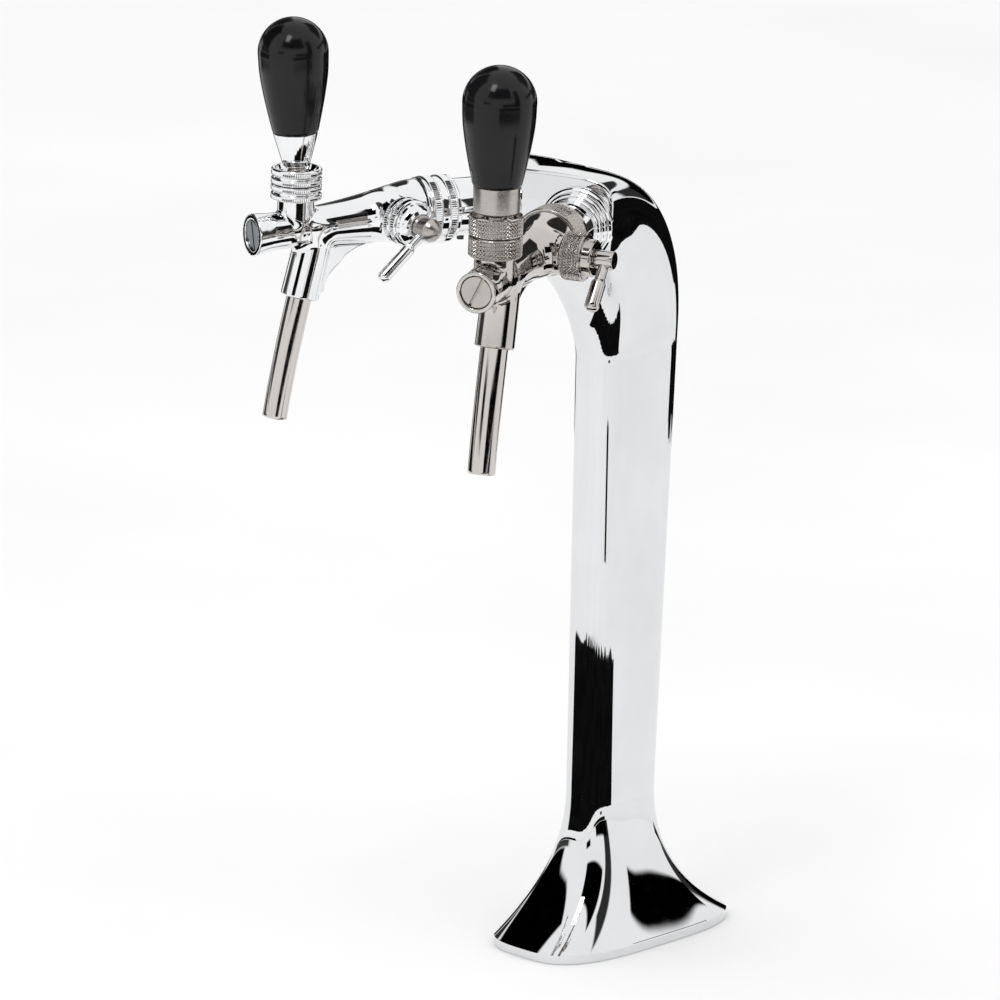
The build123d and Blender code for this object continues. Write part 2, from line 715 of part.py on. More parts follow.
def control_lever(tap):
    """Lever that points forward and down, slimmer near the hub."""
    plane = control_plane(tap.side, tap.control_swing)
    ahead = forward(tap.side).rotate(Axis.Z, tap.control_swing)
    droop = radians(tap.control_droop)
    direction = ahead * cos(droop) - Vector(0, 0, sin(droop))
    root = plane.origin + plane.x_dir * tap.lever_at
    along = Plane(root, x_dir=direction, z_dir=plane.x_dir)
    thick = tap.control_lever_radius
    length = tap.control_lever_length
    hub_radius = tap.control_hub[1][1]
    slim = 0.72 * thick
    outline = [(hub_radius - 0.4, 0), (hub_radius - 0.4, slim), (hub_radius + 6, slim)]
    outline += [(hub_radius + 9, thick), (length - thick * 0.6, thick)]
    outline += [(length - thick * 0.15, thick * 0.75), (length, thick * 0.35), (length, 0)]
    with BuildPart() as arm:
        add(turned(along, outline))
        add(turned(plane, [(30, 0), (30, hub_radius), (55, hub_radius), (55, 0)]), mode=Mode.SUBTRACT)
    return arm.part


for tap in (LEFT, RIGHT):
    save(tap_body(tap), f"tap_body_{tap.name}")
    save(front_plug(tap), f"front_plug_{tap.name}")
    seal = [(17.0, 6.4), (17.0, tap.plug_radius), (18.2, tap.plug_radius), (18.2, 6.4)]
    save(turned(valve_plane(tap.side), seal), f"plug_seal_{tap.name}")
    lower_bore = [(tap.collar_lower[-1][0], NECK_RADIUS + 0.1), (tap.collar_lower[0][0], NECK_RADIUS + 0.1)]
    save(collar(tap, tap.collar_lower, lower_bore), f"collar_lower_{tap.name}")
    lip = [(0.9, 5.5), (-1.3, 5.75), (-1.3, NECK_RADIUS + 0.1)]
    upper_bore = lip + [(tap.collar_upper[0][0], NECK_RADIUS + 0.1)]
    save(collar(tap, tap.collar_upper, upper_bore), f"collar_upper_{tap.name}")
    seat = [(-6, 4.7), (-6, 9.3), (-1.4, 9.3), (-1.4, 5.65), (-3.0, 4.9)]
    save(turned(collar_plane(tap), seat), f"ball_seat_{tap.name}")
    save(lever(tap), f"lever_{tap.name}")
    start, end = tap.ferrule[0][0], tap.ferrule[-1][0]
    ferrule_bore = [(end, ROD_RADIUS + 0.05), (5.2, ROD_RADIUS + 0.05), (start, tap.ferrule_mouth)]
    save(turned(lever_plane(tap), tap.ferrule + ferrule_bore), f"ferrule_{tap.name}")
    save(knob(tap), f"knob_{tap.name}")
    save(piston(tap), f"piston_{tap.name}")
    save(piston_rings(tap), f"piston_rings_{tap.name}")
    save(spout_tube(tap), f"spout_tube_{tap.name}")
    save(control_nut(tap), f"control_nut_{tap.name}")
    save(control_plug(tap), f"control_plug_{tap.name}")
    save(control_hub(tap), f"control_hub_{tap.name}")
    save(control_lever(tap), f"control_lever_{tap.name}")
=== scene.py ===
import json
from math import cos, pi, radians, sin

import bmesh
import bpy
import numpy as np
from mathutils import Matrix, Vector


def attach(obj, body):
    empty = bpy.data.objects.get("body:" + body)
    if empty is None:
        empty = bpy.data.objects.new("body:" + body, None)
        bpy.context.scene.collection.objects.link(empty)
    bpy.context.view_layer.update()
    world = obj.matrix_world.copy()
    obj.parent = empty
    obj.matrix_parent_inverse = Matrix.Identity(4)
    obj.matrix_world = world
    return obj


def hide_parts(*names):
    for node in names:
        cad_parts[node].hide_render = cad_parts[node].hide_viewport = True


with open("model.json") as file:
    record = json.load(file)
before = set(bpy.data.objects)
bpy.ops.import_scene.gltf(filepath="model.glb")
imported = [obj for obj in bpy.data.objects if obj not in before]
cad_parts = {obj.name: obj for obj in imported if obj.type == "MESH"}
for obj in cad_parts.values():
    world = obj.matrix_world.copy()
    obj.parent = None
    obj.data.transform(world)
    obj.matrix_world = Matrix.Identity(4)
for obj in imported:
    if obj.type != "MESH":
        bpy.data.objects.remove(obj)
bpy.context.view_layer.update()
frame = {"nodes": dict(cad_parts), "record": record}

# Two-tap beer tower. The tower's shapes are worked out in millimetres in the CAD model's frame
# and scaled to metres when a mesh is made. The floor, the cards and the light are in metres.
# Left and right are two different tap patterns.

MM = 0.001

# ---------------------------------------------------------------- driving dimensions, as in the CAD

FOOT_WIDTH, FOOT_LENGTH, FOOT_LIP = 75.0, 146.6, 5.0
FLARE_TOP, WIDTH_FLARE, DEPTH_FLARE = 80.0, 1.4, 2.6
SHAFT_WIDTH, SHAFT_DEPTH, SHAFT_Y = 28.0, 59.0, -4.7
SHAFT_TAPER, TAPER_LEVEL = 0.042, 200.0
NECK_START, NECK_REACH, HEAD_Z = 325.0, 73.0, 412.0
HEAD_WIDTH, HEAD_HEIGHT = 97.0, 52.0
CORNER_POWER, FOOT_POWER, HEAD_POWER = 3.6, 3.2, 5.0
WALL, FACE_WALL = 2.6, 4.0
TAP_YAW = radians(20.7)
FACE_X, FACE_Y = 29.9, -80.2
LEVER_AT, FLOW_CONTROL, BODY_FRONT = 116.0, 67.0, 141.0
BARREL_DROP, DROP_START, DROP_POWER = 6.1, 50.0, 1.25
PLUG_FRONT = 24.4
SPOUT_AT, SPOUT_UP, SPOUT_TILT, HOUSING_LENGTH = 104.0, -4.0, radians(13), 38.3
UP = np.array([0.0, 0.0, 1.0])


class Pattern:
    """Measurements in which the two taps differ."""

    def __init__(self, **values):
        self.__dict__.update(values)


LEFT = Pattern(
    name="left", side=-1, lean=radians(3.4), pivot_up=24.7,
    barrel_radius=10.0, rim_radius=11.4, plug_radius=8.1, slot_angle=8,
    housing_top=9.4, housing_end=10.0, spout_radius=6.5,
    control_swing=10.0, boss_radius=10.4, neck_radius=9.6,
    hub_radius=6.2, lever_across=42.0, control_lever_radius=3.4, control_lever_length=37.5,
    control_droop=radians(40), knob_radius=18.5, knob_length=60.9, knob_foot=12.0, ferrule_top=23.1,
)
RIGHT = Pattern(
    name="right", side=1, lean=radians(0.4), pivot_up=27.1,
    barrel_radius=10.6, rim_radius=10.9, plug_radius=8.4, slot_angle=-26,
    housing_top=9.8, housing_end=10.3, spout_radius=7.2,
    control_swing=0.0, boss_radius=11.0, neck_radius=10.6,
    hub_radius=4.9, lever_across=41.8, control_lever_radius=3.9, control_lever_length=30.0,
    control_droop=radians(50), knob_radius=19.2, knob_length=62.4, knob_foot=12.8, ferrule_top=18.2,
)


def forward(side):
    return np.array([side * sin(TAP_YAW), -cos(TAP_YAW), 0.0])


def rightward(side):
    return np.array([cos(TAP_YAW), side * sin(TAP_YAW), 0.0])


def spot(side, along, across=0.0, up=0.0):
    """A point given by its distances from the centre of the head's face."""
    face = np.array([side * FACE_X, FACE_Y, HEAD_Z])
    return face + forward(side) * along + rightward(side) * across + UP * up


def turned_about_z(vector, degrees):
    c, s = cos(radians(degrees)), sin(radians(degrees))
    return np.array([vector[0] * c - vector[1] * s, vector[0] * s + vector[1] * c, vector[2]])


def blend(a, b, t):
    return a + (b - a) * t


def centre_height(along):
    """Height of a tap body's centre line, which falls slightly towards the front."""
    share = np.maximum(0.0, (along - DROP_START) / (BODY_FRONT - DROP_START))
    return -BARREL_DROP * share**DROP_POWER


class Spindle:
    """An axis to turn pieces about: an origin, a direction along, and where angle 0 points."""

    def __init__(self, origin, along, zero):
        self.origin = np.asarray(origin, float)
        self.along = np.asarray(along, float) / np.linalg.norm(along)
        zero = np.asarray(zero, float)
        zero = zero - self.along * zero.dot(self.along)
        self.zero = zero / np.linalg.norm(zero)
        self.side = np.cross(self.along, self.zero)

    def place(self, along, radius, angle):
        ring = np.cos(angle)[..., None] * self.zero + np.sin(angle)[..., None] * self.side
        outward = ring * np.asarray(radius)[..., None]
        return self.origin + np.asarray(along)[..., None] * self.along + outward


def tap_spindle(tap):
    return Spindle(spot(tap.side, 0), forward(tap.side), UP)


def valve_spindle(tap):
    dip = radians(4.5)
    along = forward(tap.side) * cos(dip) - UP * sin(dip)
    return Spindle(spot(tap.side, LEVER_AT, 0, centre_height(LEVER_AT)), along, UP)


def collar_spindle(tap):
    return Spindle(spot(tap.side, LEVER_AT, 0, tap.pivot_up), UP, forward(tap.side))


def lever_spindle(tap):
    along = UP * cos(tap.lean) + forward(tap.side) * sin(tap.lean)
    return Spindle(spot(tap.side, LEVER_AT, 0, tap.pivot_up), along, forward(tap.side))


def control_spindle(tap):
    outward = turned_about_z(rightward(tap.side), tap.control_swing)
    return Spindle(spot(tap.side, FLOW_CONTROL, 0, 0.5), outward, UP)


def spout_spindle(tap):
    along = forward(tap.side) * sin(SPOUT_TILT) - UP * cos(SPOUT_TILT)
    return Spindle(spot(tap.side, SPOUT_AT, 0, SPOUT_UP), along, forward(tap.side))


# ---------------------------------------------------------------- materials


class Shader:
    """A Principled material with helpers for the nodes that feed it."""

    def __init__(self, name, **values):
        self.material = bpy.data.materials.new(name)
        self.material.use_nodes = True
        self.nodes = self.material.node_tree.nodes
        self.links = self.material.node_tree.links
        self.surface = self.nodes["Principled BSDF"]
        for socket, value in values.items():
            self.surface.inputs[socket.replace("_", " ")].default_value = value
        self.place = self.nodes.new("ShaderNodeTexCoord").outputs["Object"]

    def noise(self, scale, detail=3.0, source=None, stretch=None):
        """Noise of so many features a metre, drawn out along an axis by stretch."""
        source = source or self.place
        if stretch:
            mapping = self.nodes.new("ShaderNodeMapping")
            mapping.inputs["Scale"].default_value = stretch
            self.links.new(source, mapping.inputs["Vector"])
            source = mapping.outputs["Vector"]
        node = self.nodes.new("ShaderNodeTexNoise")
        node.inputs["Scale"].default_value = scale
        node.inputs["Detail"].default_value = detail
        self.links.new(source, node.inputs["Vector"])
        return node.outputs["Fac"]

    def attribute(self, name):
        node = self.nodes.new("ShaderNodeAttribute")
        node.attribute_name = name
        return node.outputs["Vector"]

    def ramp(self, value, low, high, start=0.35, end=0.65):
        node = self.nodes.new("ShaderNodeMapRange")
        node.inputs["From Min"].default_value = start
        node.inputs["From Max"].default_value = end
        node.inputs["To Min"].default_value = low
        node.inputs["To Max"].default_value = high
        self.links.new(value, node.inputs["Value"])
        return node.outputs["Result"]

    def shades(self, value, dark, light, start=0.3, end=0.7):
        node = self.nodes.new("ShaderNodeValToRGB")
        node.color_ramp.elements[0].position = start
        node.color_ramp.elements[0].color = (*dark, 1)
        node.color_ramp.elements[1].position = end
        node.color_ramp.elements[1].color = (*light, 1)
        self.links.new(value, node.inputs["Fac"])
        self.links.new(node.outputs["Color"], self.surface.inputs["Base Color"])

    def roughness(self, value, low, high):
        self.links.new(self.ramp(value, low, high), self.surface.inputs["Roughness"])

    def bump(self, value, height, strength=1.0):
        """Adds a bump of that height in metres on top of any bump already there."""
        node = self.nodes.new("ShaderNodeBump")
        node.inputs["Strength"].default_value = strength
        node.inputs["Distance"].default_value = height
        self.links.new(value, node.inputs["Height"])
        normal = self.surface.inputs["Normal"]
        if normal.is_linked:
            self.links.new(normal.links[0].from_socket, node.inputs["Normal"])
        self.links.new(node.outputs["Normal"], normal)


def plated(name, dark, light, smooth, dull, wave):
    """Smooth metal: faint cloudiness, wiped smudges and the slow wave of polishing."""
    shader = Shader(name, Metallic=1.0)
    shader.shades(shader.noise(35, 4), dark, light)
    shader.roughness(shader.noise(90, 6), smooth, dull)
    shader.bump(shader.noise(55, 1), wave)
    return shader.material


def satin(name, dark, light, smooth, dull, groove=0.00002):
    """Turned metal: fine rings from the lathe tool round the piece's own axis."""
    shader = Shader(name, Metallic=1.0)
    turning = shader.attribute("turning")
    rings = shader.noise(1.0, 2, source=turning, stretch=(6000, 25, 6000))
    shader.shades(rings, dark, light)
    shader.roughness(shader.noise(150, 5), smooth, dull)
    shader.bump(rings, groove)
    return shader.material


def moulded(name, dark, light, smooth, dull, grain, specular=0.5):
    """Plastic, rubber or blackened steel: slight mottling and a fine grain."""
    shader = Shader(name, Specular_IOR_Level=specular)
    shader.shades(shader.noise(60, 4), dark, light)
    shader.roughness(shader.noise(200, 5), smooth, dull)
    shader.bump(shader.noise(900, 3), grain)
    return shader.material


CHROME = plated("chrome_plate", (0.735, 0.745, 0.755), (0.785, 0.79, 0.80), 0.012, 0.035, 0.000004)
TAP_CHROME = plated("tap_chrome_plate", (0.82, 0.83, 0.84), (0.90, 0.90, 0.91), 0.02, 0.05, 0.00001)
POLISHED = plated("polished_nickel", (0.50, 0.475, 0.455), (0.63, 0.605, 0.585), 0.045, 0.10, 0.00002)
KNURLED = plated("knurled_nickel", (0.42, 0.395, 0.375), (0.60, 0.57, 0.545), 0.07, 0.14, 0.00001)
SATIN = satin("satin_steel_turned", (0.40, 0.375, 0.35), (0.56, 0.53, 0.50), 0.24, 0.34)
SPOUT = satin("spout_steel_drawn", (0.56, 0.53, 0.51), (0.68, 0.65, 0.625), 0.05, 0.09, 0.000006)
DARK_PLUG = satin("dark_plug_turned", (0.13, 0.14, 0.15), (0.22, 0.235, 0.25), 0.12, 0.22)
KNOB = moulded("knob_gloss_black", (0.003, 0.003, 0.0035), (0.007, 0.007, 0.008), 0.12, 0.18, 0.000008, 0.3)
SEAL = moulded("seal_rubber", (0.012, 0.012, 0.012), (0.03, 0.03, 0.03), 0.5, 0.7, 0.00005)
BLACKENED = moulded("blackened_steel", (0.012, 0.012, 0.013), (0.035, 0.035, 0.037), 0.3, 0.45, 0.00003)
ZINC = plated("zinc_plate", (0.55, 0.56, 0.58), (0.68, 0.69, 0.70), 0.25, 0.4, 0.00003)
BRASS = plated("machined_brass", (0.60, 0.45, 0.22), (0.75, 0.58, 0.30), 0.18, 0.3, 0.00002)
COPPER = plated("drawn_copper", (0.70, 0.38, 0.25), (0.82, 0.50, 0.35), 0.2, 0.32, 0.00002)
NYLON = moulded("natural_nylon", (0.72, 0.71, 0.66), (0.85, 0.84, 0.79), 0.35, 0.5, 0.00003)
FOAM = moulded("rigid_foam", (0.66, 0.56, 0.33), (0.84, 0.75, 0.50), 0.8, 0.95, 0.0004)
LINE = moulded("line_plastic", (0.66, 0.69, 0.72), (0.80, 0.83, 0.86), 0.25, 0.4, 0.00002)

# Pieces that are inside, underneath or very small keep their CAD meshes and only get a material.
KEPT_NODES = {
    "base_ring": ZINC, "base_screws": ZINC, "base_gasket": SEAL, "foam_core": FOAM,
    "beer_line_left": LINE, "beer_line_right": LINE, "cooling_loop": COPPER,
}
for tap in (LEFT, RIGHT):
    for node in ("shank", "shank_locknut", "tail_nut", "piston"):
        KEPT_NODES[f"{node}_{tap.name}"] = BRASS
    for node in ("ring_seal", "plug_seal", "piston_rings"):
        KEPT_NODES[f"{node}_{tap.name}"] = SEAL
    KEPT_NODES[f"retaining_ring_{tap.name}"] = ZINC
    KEPT_NODES[f"ball_seat_{tap.name}"] = NYLON
    KEPT_NODES[f"control_plug_{tap.name}"] = ZINC
    KEPT_NODES[f"set_screw_{tap.name}"] = BLACKENED
for node, material in KEPT_NODES.items():
    mesh = frame["nodes"][node].data
    if not mesh.materials:
        mesh.materials.append(material)
    for index in range(len(mesh.materials)):
        mesh.materials[index] = material

# ---------------------------------------------------------------- mesh helpers

SAME_POINT = 1e-7  # metres within which two points count as one
BODY = {node: body for body, nodes in frame["record"]["behaviour"]["bodies"].items() for node in nodes}


def make_piece(name, points, faces, material, node, turning=None, normals=None, sharp=35):
    """A smooth-shaded piece that stands for one CAD node and rides on that node's body."""
    mesh = bpy.data.meshes.new(name)
    mesh.from_pydata((np.asarray(points) * MM).tolist(), [], faces)
    mesh.validate()
    mesh.shade_smooth()
    if normals is None:
        mesh.set_sharp_from_angle(angle=radians(sharp))
    else:
        mesh.normals_split_custom_set_from_vertices(normals.tolist())
    if turning is not None:
        layer = mesh.attributes.new("turning", "FLOAT_VECTOR", "POINT")
        layer.data.foreach_set("vector", (np.asarray(turning) * MM).ravel())
    mesh.materials.append(material)
    piece = bpy.data.objects.new(name, mesh)
    bpy.context.scene.collection.objects.link(piece)
    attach(piece, BODY[node])
    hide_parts(node)
    return piece


def grid_faces(rows, columns, around=True, along=False, first=0):
    """Quads of a grid of points, closed round its columns and, if asked, along its rows."""
    row = np.arange(rows if along else rows - 1)
    column = np.arange(columns if around else columns - 1)
    i, j = np.meshgrid(row, column, indexing="ij")
    i2, j2 = (i + 1) % rows, (j + 1) % columns
    quads = np.stack([i * columns + j, i * columns + j2, i2 * columns + j2, i2 * columns + j], -1)
    return (quads.reshape(-1, 4) + first).tolist()


def rounded(outline, radius, closed, steps=4):
    """The outline with each corner eased by up to the given radius."""
    points = [np.array(p, float) for p in outline]
    count = len(points)
    result = []
    for index, point in enumerate(points):
        if not closed and index in (0, count - 1):
            result.append(point)
            continue
        before = points[index - 1] - point
        after = points[(index + 1) % count] - point
        reach = min(radius, 0.45 * np.linalg.norm(before), 0.45 * np.linalg.norm(after))
        start = point + before / np.linalg.norm(before) * reach
        end = point + after / np.linalg.norm(after) * reach
        for step in range(steps + 1):
            t = step / steps
            result.append((1 - t) ** 2 * start + 2 * t * (1 - t) * point + t**2 * end)
    return result


def divided(outline, closed, bands, spacing):
    """The outline with more points where it runs through a knurled band."""
    result = []
    count = len(outline)
    for index in range(count if closed else count - 1):
        a, b = outline[index], outline[(index + 1) % count]
        result.append(a)
        middle = (a[0] + b[0]) / 2
        pieces = 1
        if any(low <= middle <= high for low, high, *_ in bands):
            pieces = max(1, int(abs(b[0] - a[0]) / spacing))
        for step in range(1, pieces):
            result.append(blend(a, b, step / pieces))
    if not closed:
        result.append(outline[-1])
    return result


def zigzag(value):
    """A triangle wave from 0 to 1 with period 1."""
    return np.abs(2 * (value - np.floor(value + 0.5)))


DIAMOND_GAIN = 1.6  # over 1, so that the diamonds have flat tops


def knurl_height(kind, count, along, angle, radius):
    """Height of the teeth at a place on the surface: 0 in a groove, 1 or more on a tooth."""
    turns = count * angle / (2 * pi)
    if kind == "straight":
        return zigzag(turns)
    slope = along * count / (2 * pi * radius)
    return np.minimum(zigzag(turns + slope), zigzag(turns - slope)) * DIAMOND_GAIN


PLAIN_SEGMENTS = 128
STEPS_PER_TOOTH = {"diamond": 8, "straight": 6}
KNURL_SPACING, KNURL_FADE = 0.28, 0.5
HOLE_DEPTH, HOLE_EDGE = 2.2, 0.25
POLE_RADIUS = 1e-6  # a row of points closer than this to the axis is one point
GRAIN_RADIUS = 12  # one radius for every piece's turning marks, so that they are equally fine


def turned(
    name, spindle, outline, material, node, closed=False, corner=0.35, bands=(), holes=(),
):
    """Lathe a piece from its (along, radius) outline.

    Bands of knurling are (start, end, least radius, kind, teeth, depth).
    Holes are (along, bearing in degrees, radius of the hole, least radius).
    """
    segments = PLAIN_SEGMENTS
    line = rounded(outline, corner, closed)
    if bands:
        segments = max(band[4] for band in bands) * STEPS_PER_TOOTH[bands[0][3]]
        line = divided(line, closed, bands, KNURL_SPACING)
    line = np.array(line)
    angle = np.arange(segments) / segments * 2 * pi
    along, theta = np.meshgrid(line[:, 0], angle, indexing="ij")
    radius = np.repeat(line[:, 1:2], segments, axis=1)
    for start, end, least, kind, teeth, depth in bands:
        fade = np.clip(np.minimum(along - start, end - along) / KNURL_FADE, 0, 1)
        fade = np.where(radius >= least, fade, 0)
        height = np.clip(knurl_height(kind, teeth, along, theta, line[:, 1].max()), 0, 1)
        radius = radius - depth * (1 - height) * fade
    for at, bearing, size, least in holes:
        off = (theta - radians(bearing) + pi) % (2 * pi) - pi
        reach = np.hypot(along - at, off * radius)
        dent = np.clip((size - reach) / HOLE_EDGE, 0, 1)
        radius = np.where(radius >= least, radius - HOLE_DEPTH * dent, radius)
    points = spindle.place(along, radius, theta).reshape(-1, 3)
    turning = np.stack([along, theta * GRAIN_RADIUS, radius], -1).reshape(-1, 3)
    faces = grid_faces(len(line), segments, True, closed)
    ends = [] if closed else [0, len(line) - 1]
    for row in ends:
        if line[row, 1] < POLE_RADIUS:
            base = row * segments
            points[base:base + segments] = points[base]
    tidy_mesh(make_piece(name, points, faces, material, node, turning))


def tidy_mesh(piece):
    """Merge doubled points, as at a lathe's poles, and turn all faces outward."""
    mesh = piece.data
    work = bmesh.new()
    work.from_mesh(mesh)
    bmesh.ops.remove_doubles(work, verts=work.verts, dist=SAME_POINT)
    bmesh.ops.recalc_face_normals(work, faces=work.faces)
    work.to_mesh(mesh)
    work.free()


# ---------------------------------------------------------------- column

AROUND = 192  # points in each ring round the column
EDGE_ROUND = 0.7  # rounding of the foot's lower edge
RIM_ROUND, INNER_RIM_ROUND = 1.6, 0.1  # rounding where the head's sides meet the slanting faces
HEAD_RUN = 0.5  # millimetres of straight head for each degree past the end of the bend
NECK_EASE = 0.08  # how gently the neck's section starts to change, so that no line shows where it starts


def shaft_half_depth(z):
    return SHAFT_DEPTH / 2 + SHAFT_TAPER / 2 * (z - TAPER_LEVEL)


def superellipse(half_width, half_depth, power, angle):
    c, s = np.cos(angle), np.sin(angle)
    x = half_width * np.abs(c) ** (2 / power) * np.sign(c)
    y = half_depth * np.abs(s) ** (2 / power) * np.sign(s)
    return x, y


def foot_point(z, angle, inset):
    """A point of the foot, flare or shaft at height z."""
    t = np.clip((FLARE_TOP - z) / (FLARE_TOP - FOOT_LIP), 0, 1)
    half_width = blend(SHAFT_WIDTH / 2, FOOT_WIDTH / 2, t**WIDTH_FLARE) - inset
    half_depth = blend(shaft_half_depth(z), FOOT_LENGTH / 2, t**DEPTH_FLARE) - inset
    middle = blend(SHAFT_Y, 0, t**DEPTH_FLARE)
    x, y = superellipse(half_width, half_depth, blend(CORNER_POWER, FOOT_POWER, t), angle)
    return np.stack([x, y + middle, np.broadcast_to(z, x.shape)], -1)


def neck_point(turn, angle, inset):
    """A point of the bent neck; past 90 degrees the head runs straight on."""
    bend = np.radians(np.minimum(turn, 90))
    beyond = np.maximum(turn - 90, 0) * HEAD_RUN
    t = np.minimum(turn, 90) / 90
    t = t * t * (1 + NECK_EASE) / (t + NECK_EASE)
    y = SHAFT_Y - NECK_REACH * (1 - np.cos(bend)) - beyond
    z = NECK_START + (HEAD_Z - NECK_START) * np.sin(bend)
    ahead_y, ahead_z = -NECK_REACH * np.sin(bend), (HEAD_Z - NECK_START) * np.cos(bend)
    length = np.hypot(ahead_y, ahead_z)
    half_width = blend(SHAFT_WIDTH / 2, HEAD_WIDTH / 2, t) - inset
    half_depth = blend(shaft_half_depth(NECK_START), HEAD_HEIGHT / 2, t) - inset
    x, depth = superellipse(half_width, half_depth, blend(CORNER_POWER, HEAD_POWER, t), angle)
    # the section's own upward direction is square to the direction ahead
    return np.stack([x, y + depth * ahead_z / length, z - depth * ahead_y / length], -1)


def front_distance(point, setback):
    """How far a point lies in front of the two slanting faces."""
    x, y = point[..., 0], point[..., 1]
    return sin(TAP_YAW) * (np.abs(x) - FACE_X) - cos(TAP_YAW) * (y - FACE_Y) + setback


def front_turn(angle, inset, setback):
    """The turn at which each line along the neck meets the slanting faces."""
    low, high = np.full_like(angle, 45.0), np.full_like(angle, 150.0)
    for _ in range(40):
        middle = (low + high) / 2
        behind = front_distance(neck_point(middle, angle, inset), setback) < 0
        low, high = np.where(behind, middle, low), np.where(behind, high, middle)
    return (low + high) / 2


def column_skin(inset, setback):
    """Rows of points from the foot's edge to the rim of the slanting faces."""
    angle = np.arange(AROUND) / AROUND * 2 * pi
    rows = []
    if inset == 0:
        for ease in np.linspace(0, pi / 2, 5):
            rows.append(foot_point(EDGE_ROUND * (1 - cos(ease)), angle, EDGE_ROUND * (1 - sin(ease))))
    else:
        rows.append(foot_point(0.0, angle, inset))
    lip = np.linspace(1.2, FOOT_LIP - 0.2, 5)
    flare = np.linspace(FOOT_LIP, FLARE_TOP, 90)
    shaft = np.linspace(FLARE_TOP + 4, NECK_START - 4, 40)
    for z in np.concatenate([lip, flare, shaft]):
        rows.append(foot_point(z, angle, inset))
    rim = RIM_ROUND if inset == 0 else INNER_RIM_ROUND
    last = front_turn(angle, inset, setback + rim)
    for share in np.linspace(0, 1, 110):
        rows.append(neck_point(last * share, angle, inset))
    for ease in np.linspace(0, 1, 7)[1:]:
        shrunk = inset + rim * (1 - cos(ease * pi / 2))
        depth = rim * (1 - sin(ease * pi / 2))
        rows.append(neck_point(front_turn(angle, shrunk, setback + depth), angle, shrunk))
    return np.array(rows)


def front_faces(first):
    """The two flat faces that close the front, which meet in a ridge."""
    quarter = AROUND // 4
    right = [first + (index % AROUND) for index in range(-quarter, quarter + 1)]
    left = [first + index for index in range(quarter, 3 * quarter + 1)]
    return [right, left]


outer = column_skin(0.0, 0.0)
inner = column_skin(WALL, FACE_WALL)
inner_first = outer.shape[0] * AROUND
column_points = np.concatenate([outer.reshape(-1, 3), inner.reshape(-1, 3)])
column_faces = grid_faces(outer.shape[0], AROUND)
column_faces += [face[::-1] for face in grid_faces(inner.shape[0], AROUND, first=inner_first)]
column_faces += front_faces((outer.shape[0] - 1) * AROUND)
column_faces += [face[::-1] for face in front_faces(inner_first + (inner.shape[0] - 1) * AROUND)]
column_faces += [
    (inner_first + j, inner_first + (j + 1) % AROUND, (j + 1) % AROUND, j) for j in range(AROUND)
]
column = make_piece("column", column_points, column_faces, CHROME, "column_shell", sharp=28)
tidy_mesh(column)

# ---------------------------------------------------------------- smooth castings

BODY_CELL, PLUG_CELL = 0.62, 0.24  # size of the grid cells that the castings are meshed with
WEB_TOP, WEB_FRONT, WEB_HALF_THICKNESS = -2.0, 108, 3.6


def smooth_union(a, b, ease):
    """The lower of two fields, with the crease between them eased."""
    overlap = np.maximum(ease - np.abs(a - b), 0) / ease
    return np.minimum(a, b) - overlap**2 * ease / 4


def smooth_common(a, b, ease):
    return -smooth_union(-a, -b, ease)


def smooth_cut(a, b, ease):
    return smooth_common(a, -b, ease)


def curve_through(x, known_x, known_y):
    """A smooth curve through a few known values."""
    known_x, known_y = np.asarray(known_x, float), np.asarray(known_y, float)
    slopes = np.gradient(known_y, known_x)
    index = np.clip(np.searchsorted(known_x, x) - 1, 0, len(known_x) - 2)
    span = known_x[index + 1] - known_x[index]
    t = np.clip((x - known_x[index]) / span, 0, 1)
    start, end = known_y[index], known_y[index + 1]
    rise, fall = slopes[index] * span, slopes[index + 1] * span
    return ((2 * t**3 - 3 * t**2 + 1) * start + (t**3 - 2 * t**2 + t) * rise
            + (3 * t**2 - 2 * t**3) * end + (t**3 - t**2) * fall)


def cone_field(points, spindle, start, end, start_radius, end_radius, edge):
    """Distance-like field of a truncated cone with eased edges."""
    offset = points - spindle.origin
    along = offset @ spindle.along
    radius = np.linalg.norm(offset - along[..., None] * spindle.along, axis=-1)
    slope = (end_radius - start_radius) / (end - start)
    side = (radius - start_radius - slope * (along - start)) / (1 + slope**2) ** 0.5
    return smooth_common(side, np.maximum(start - along, along - end), edge)


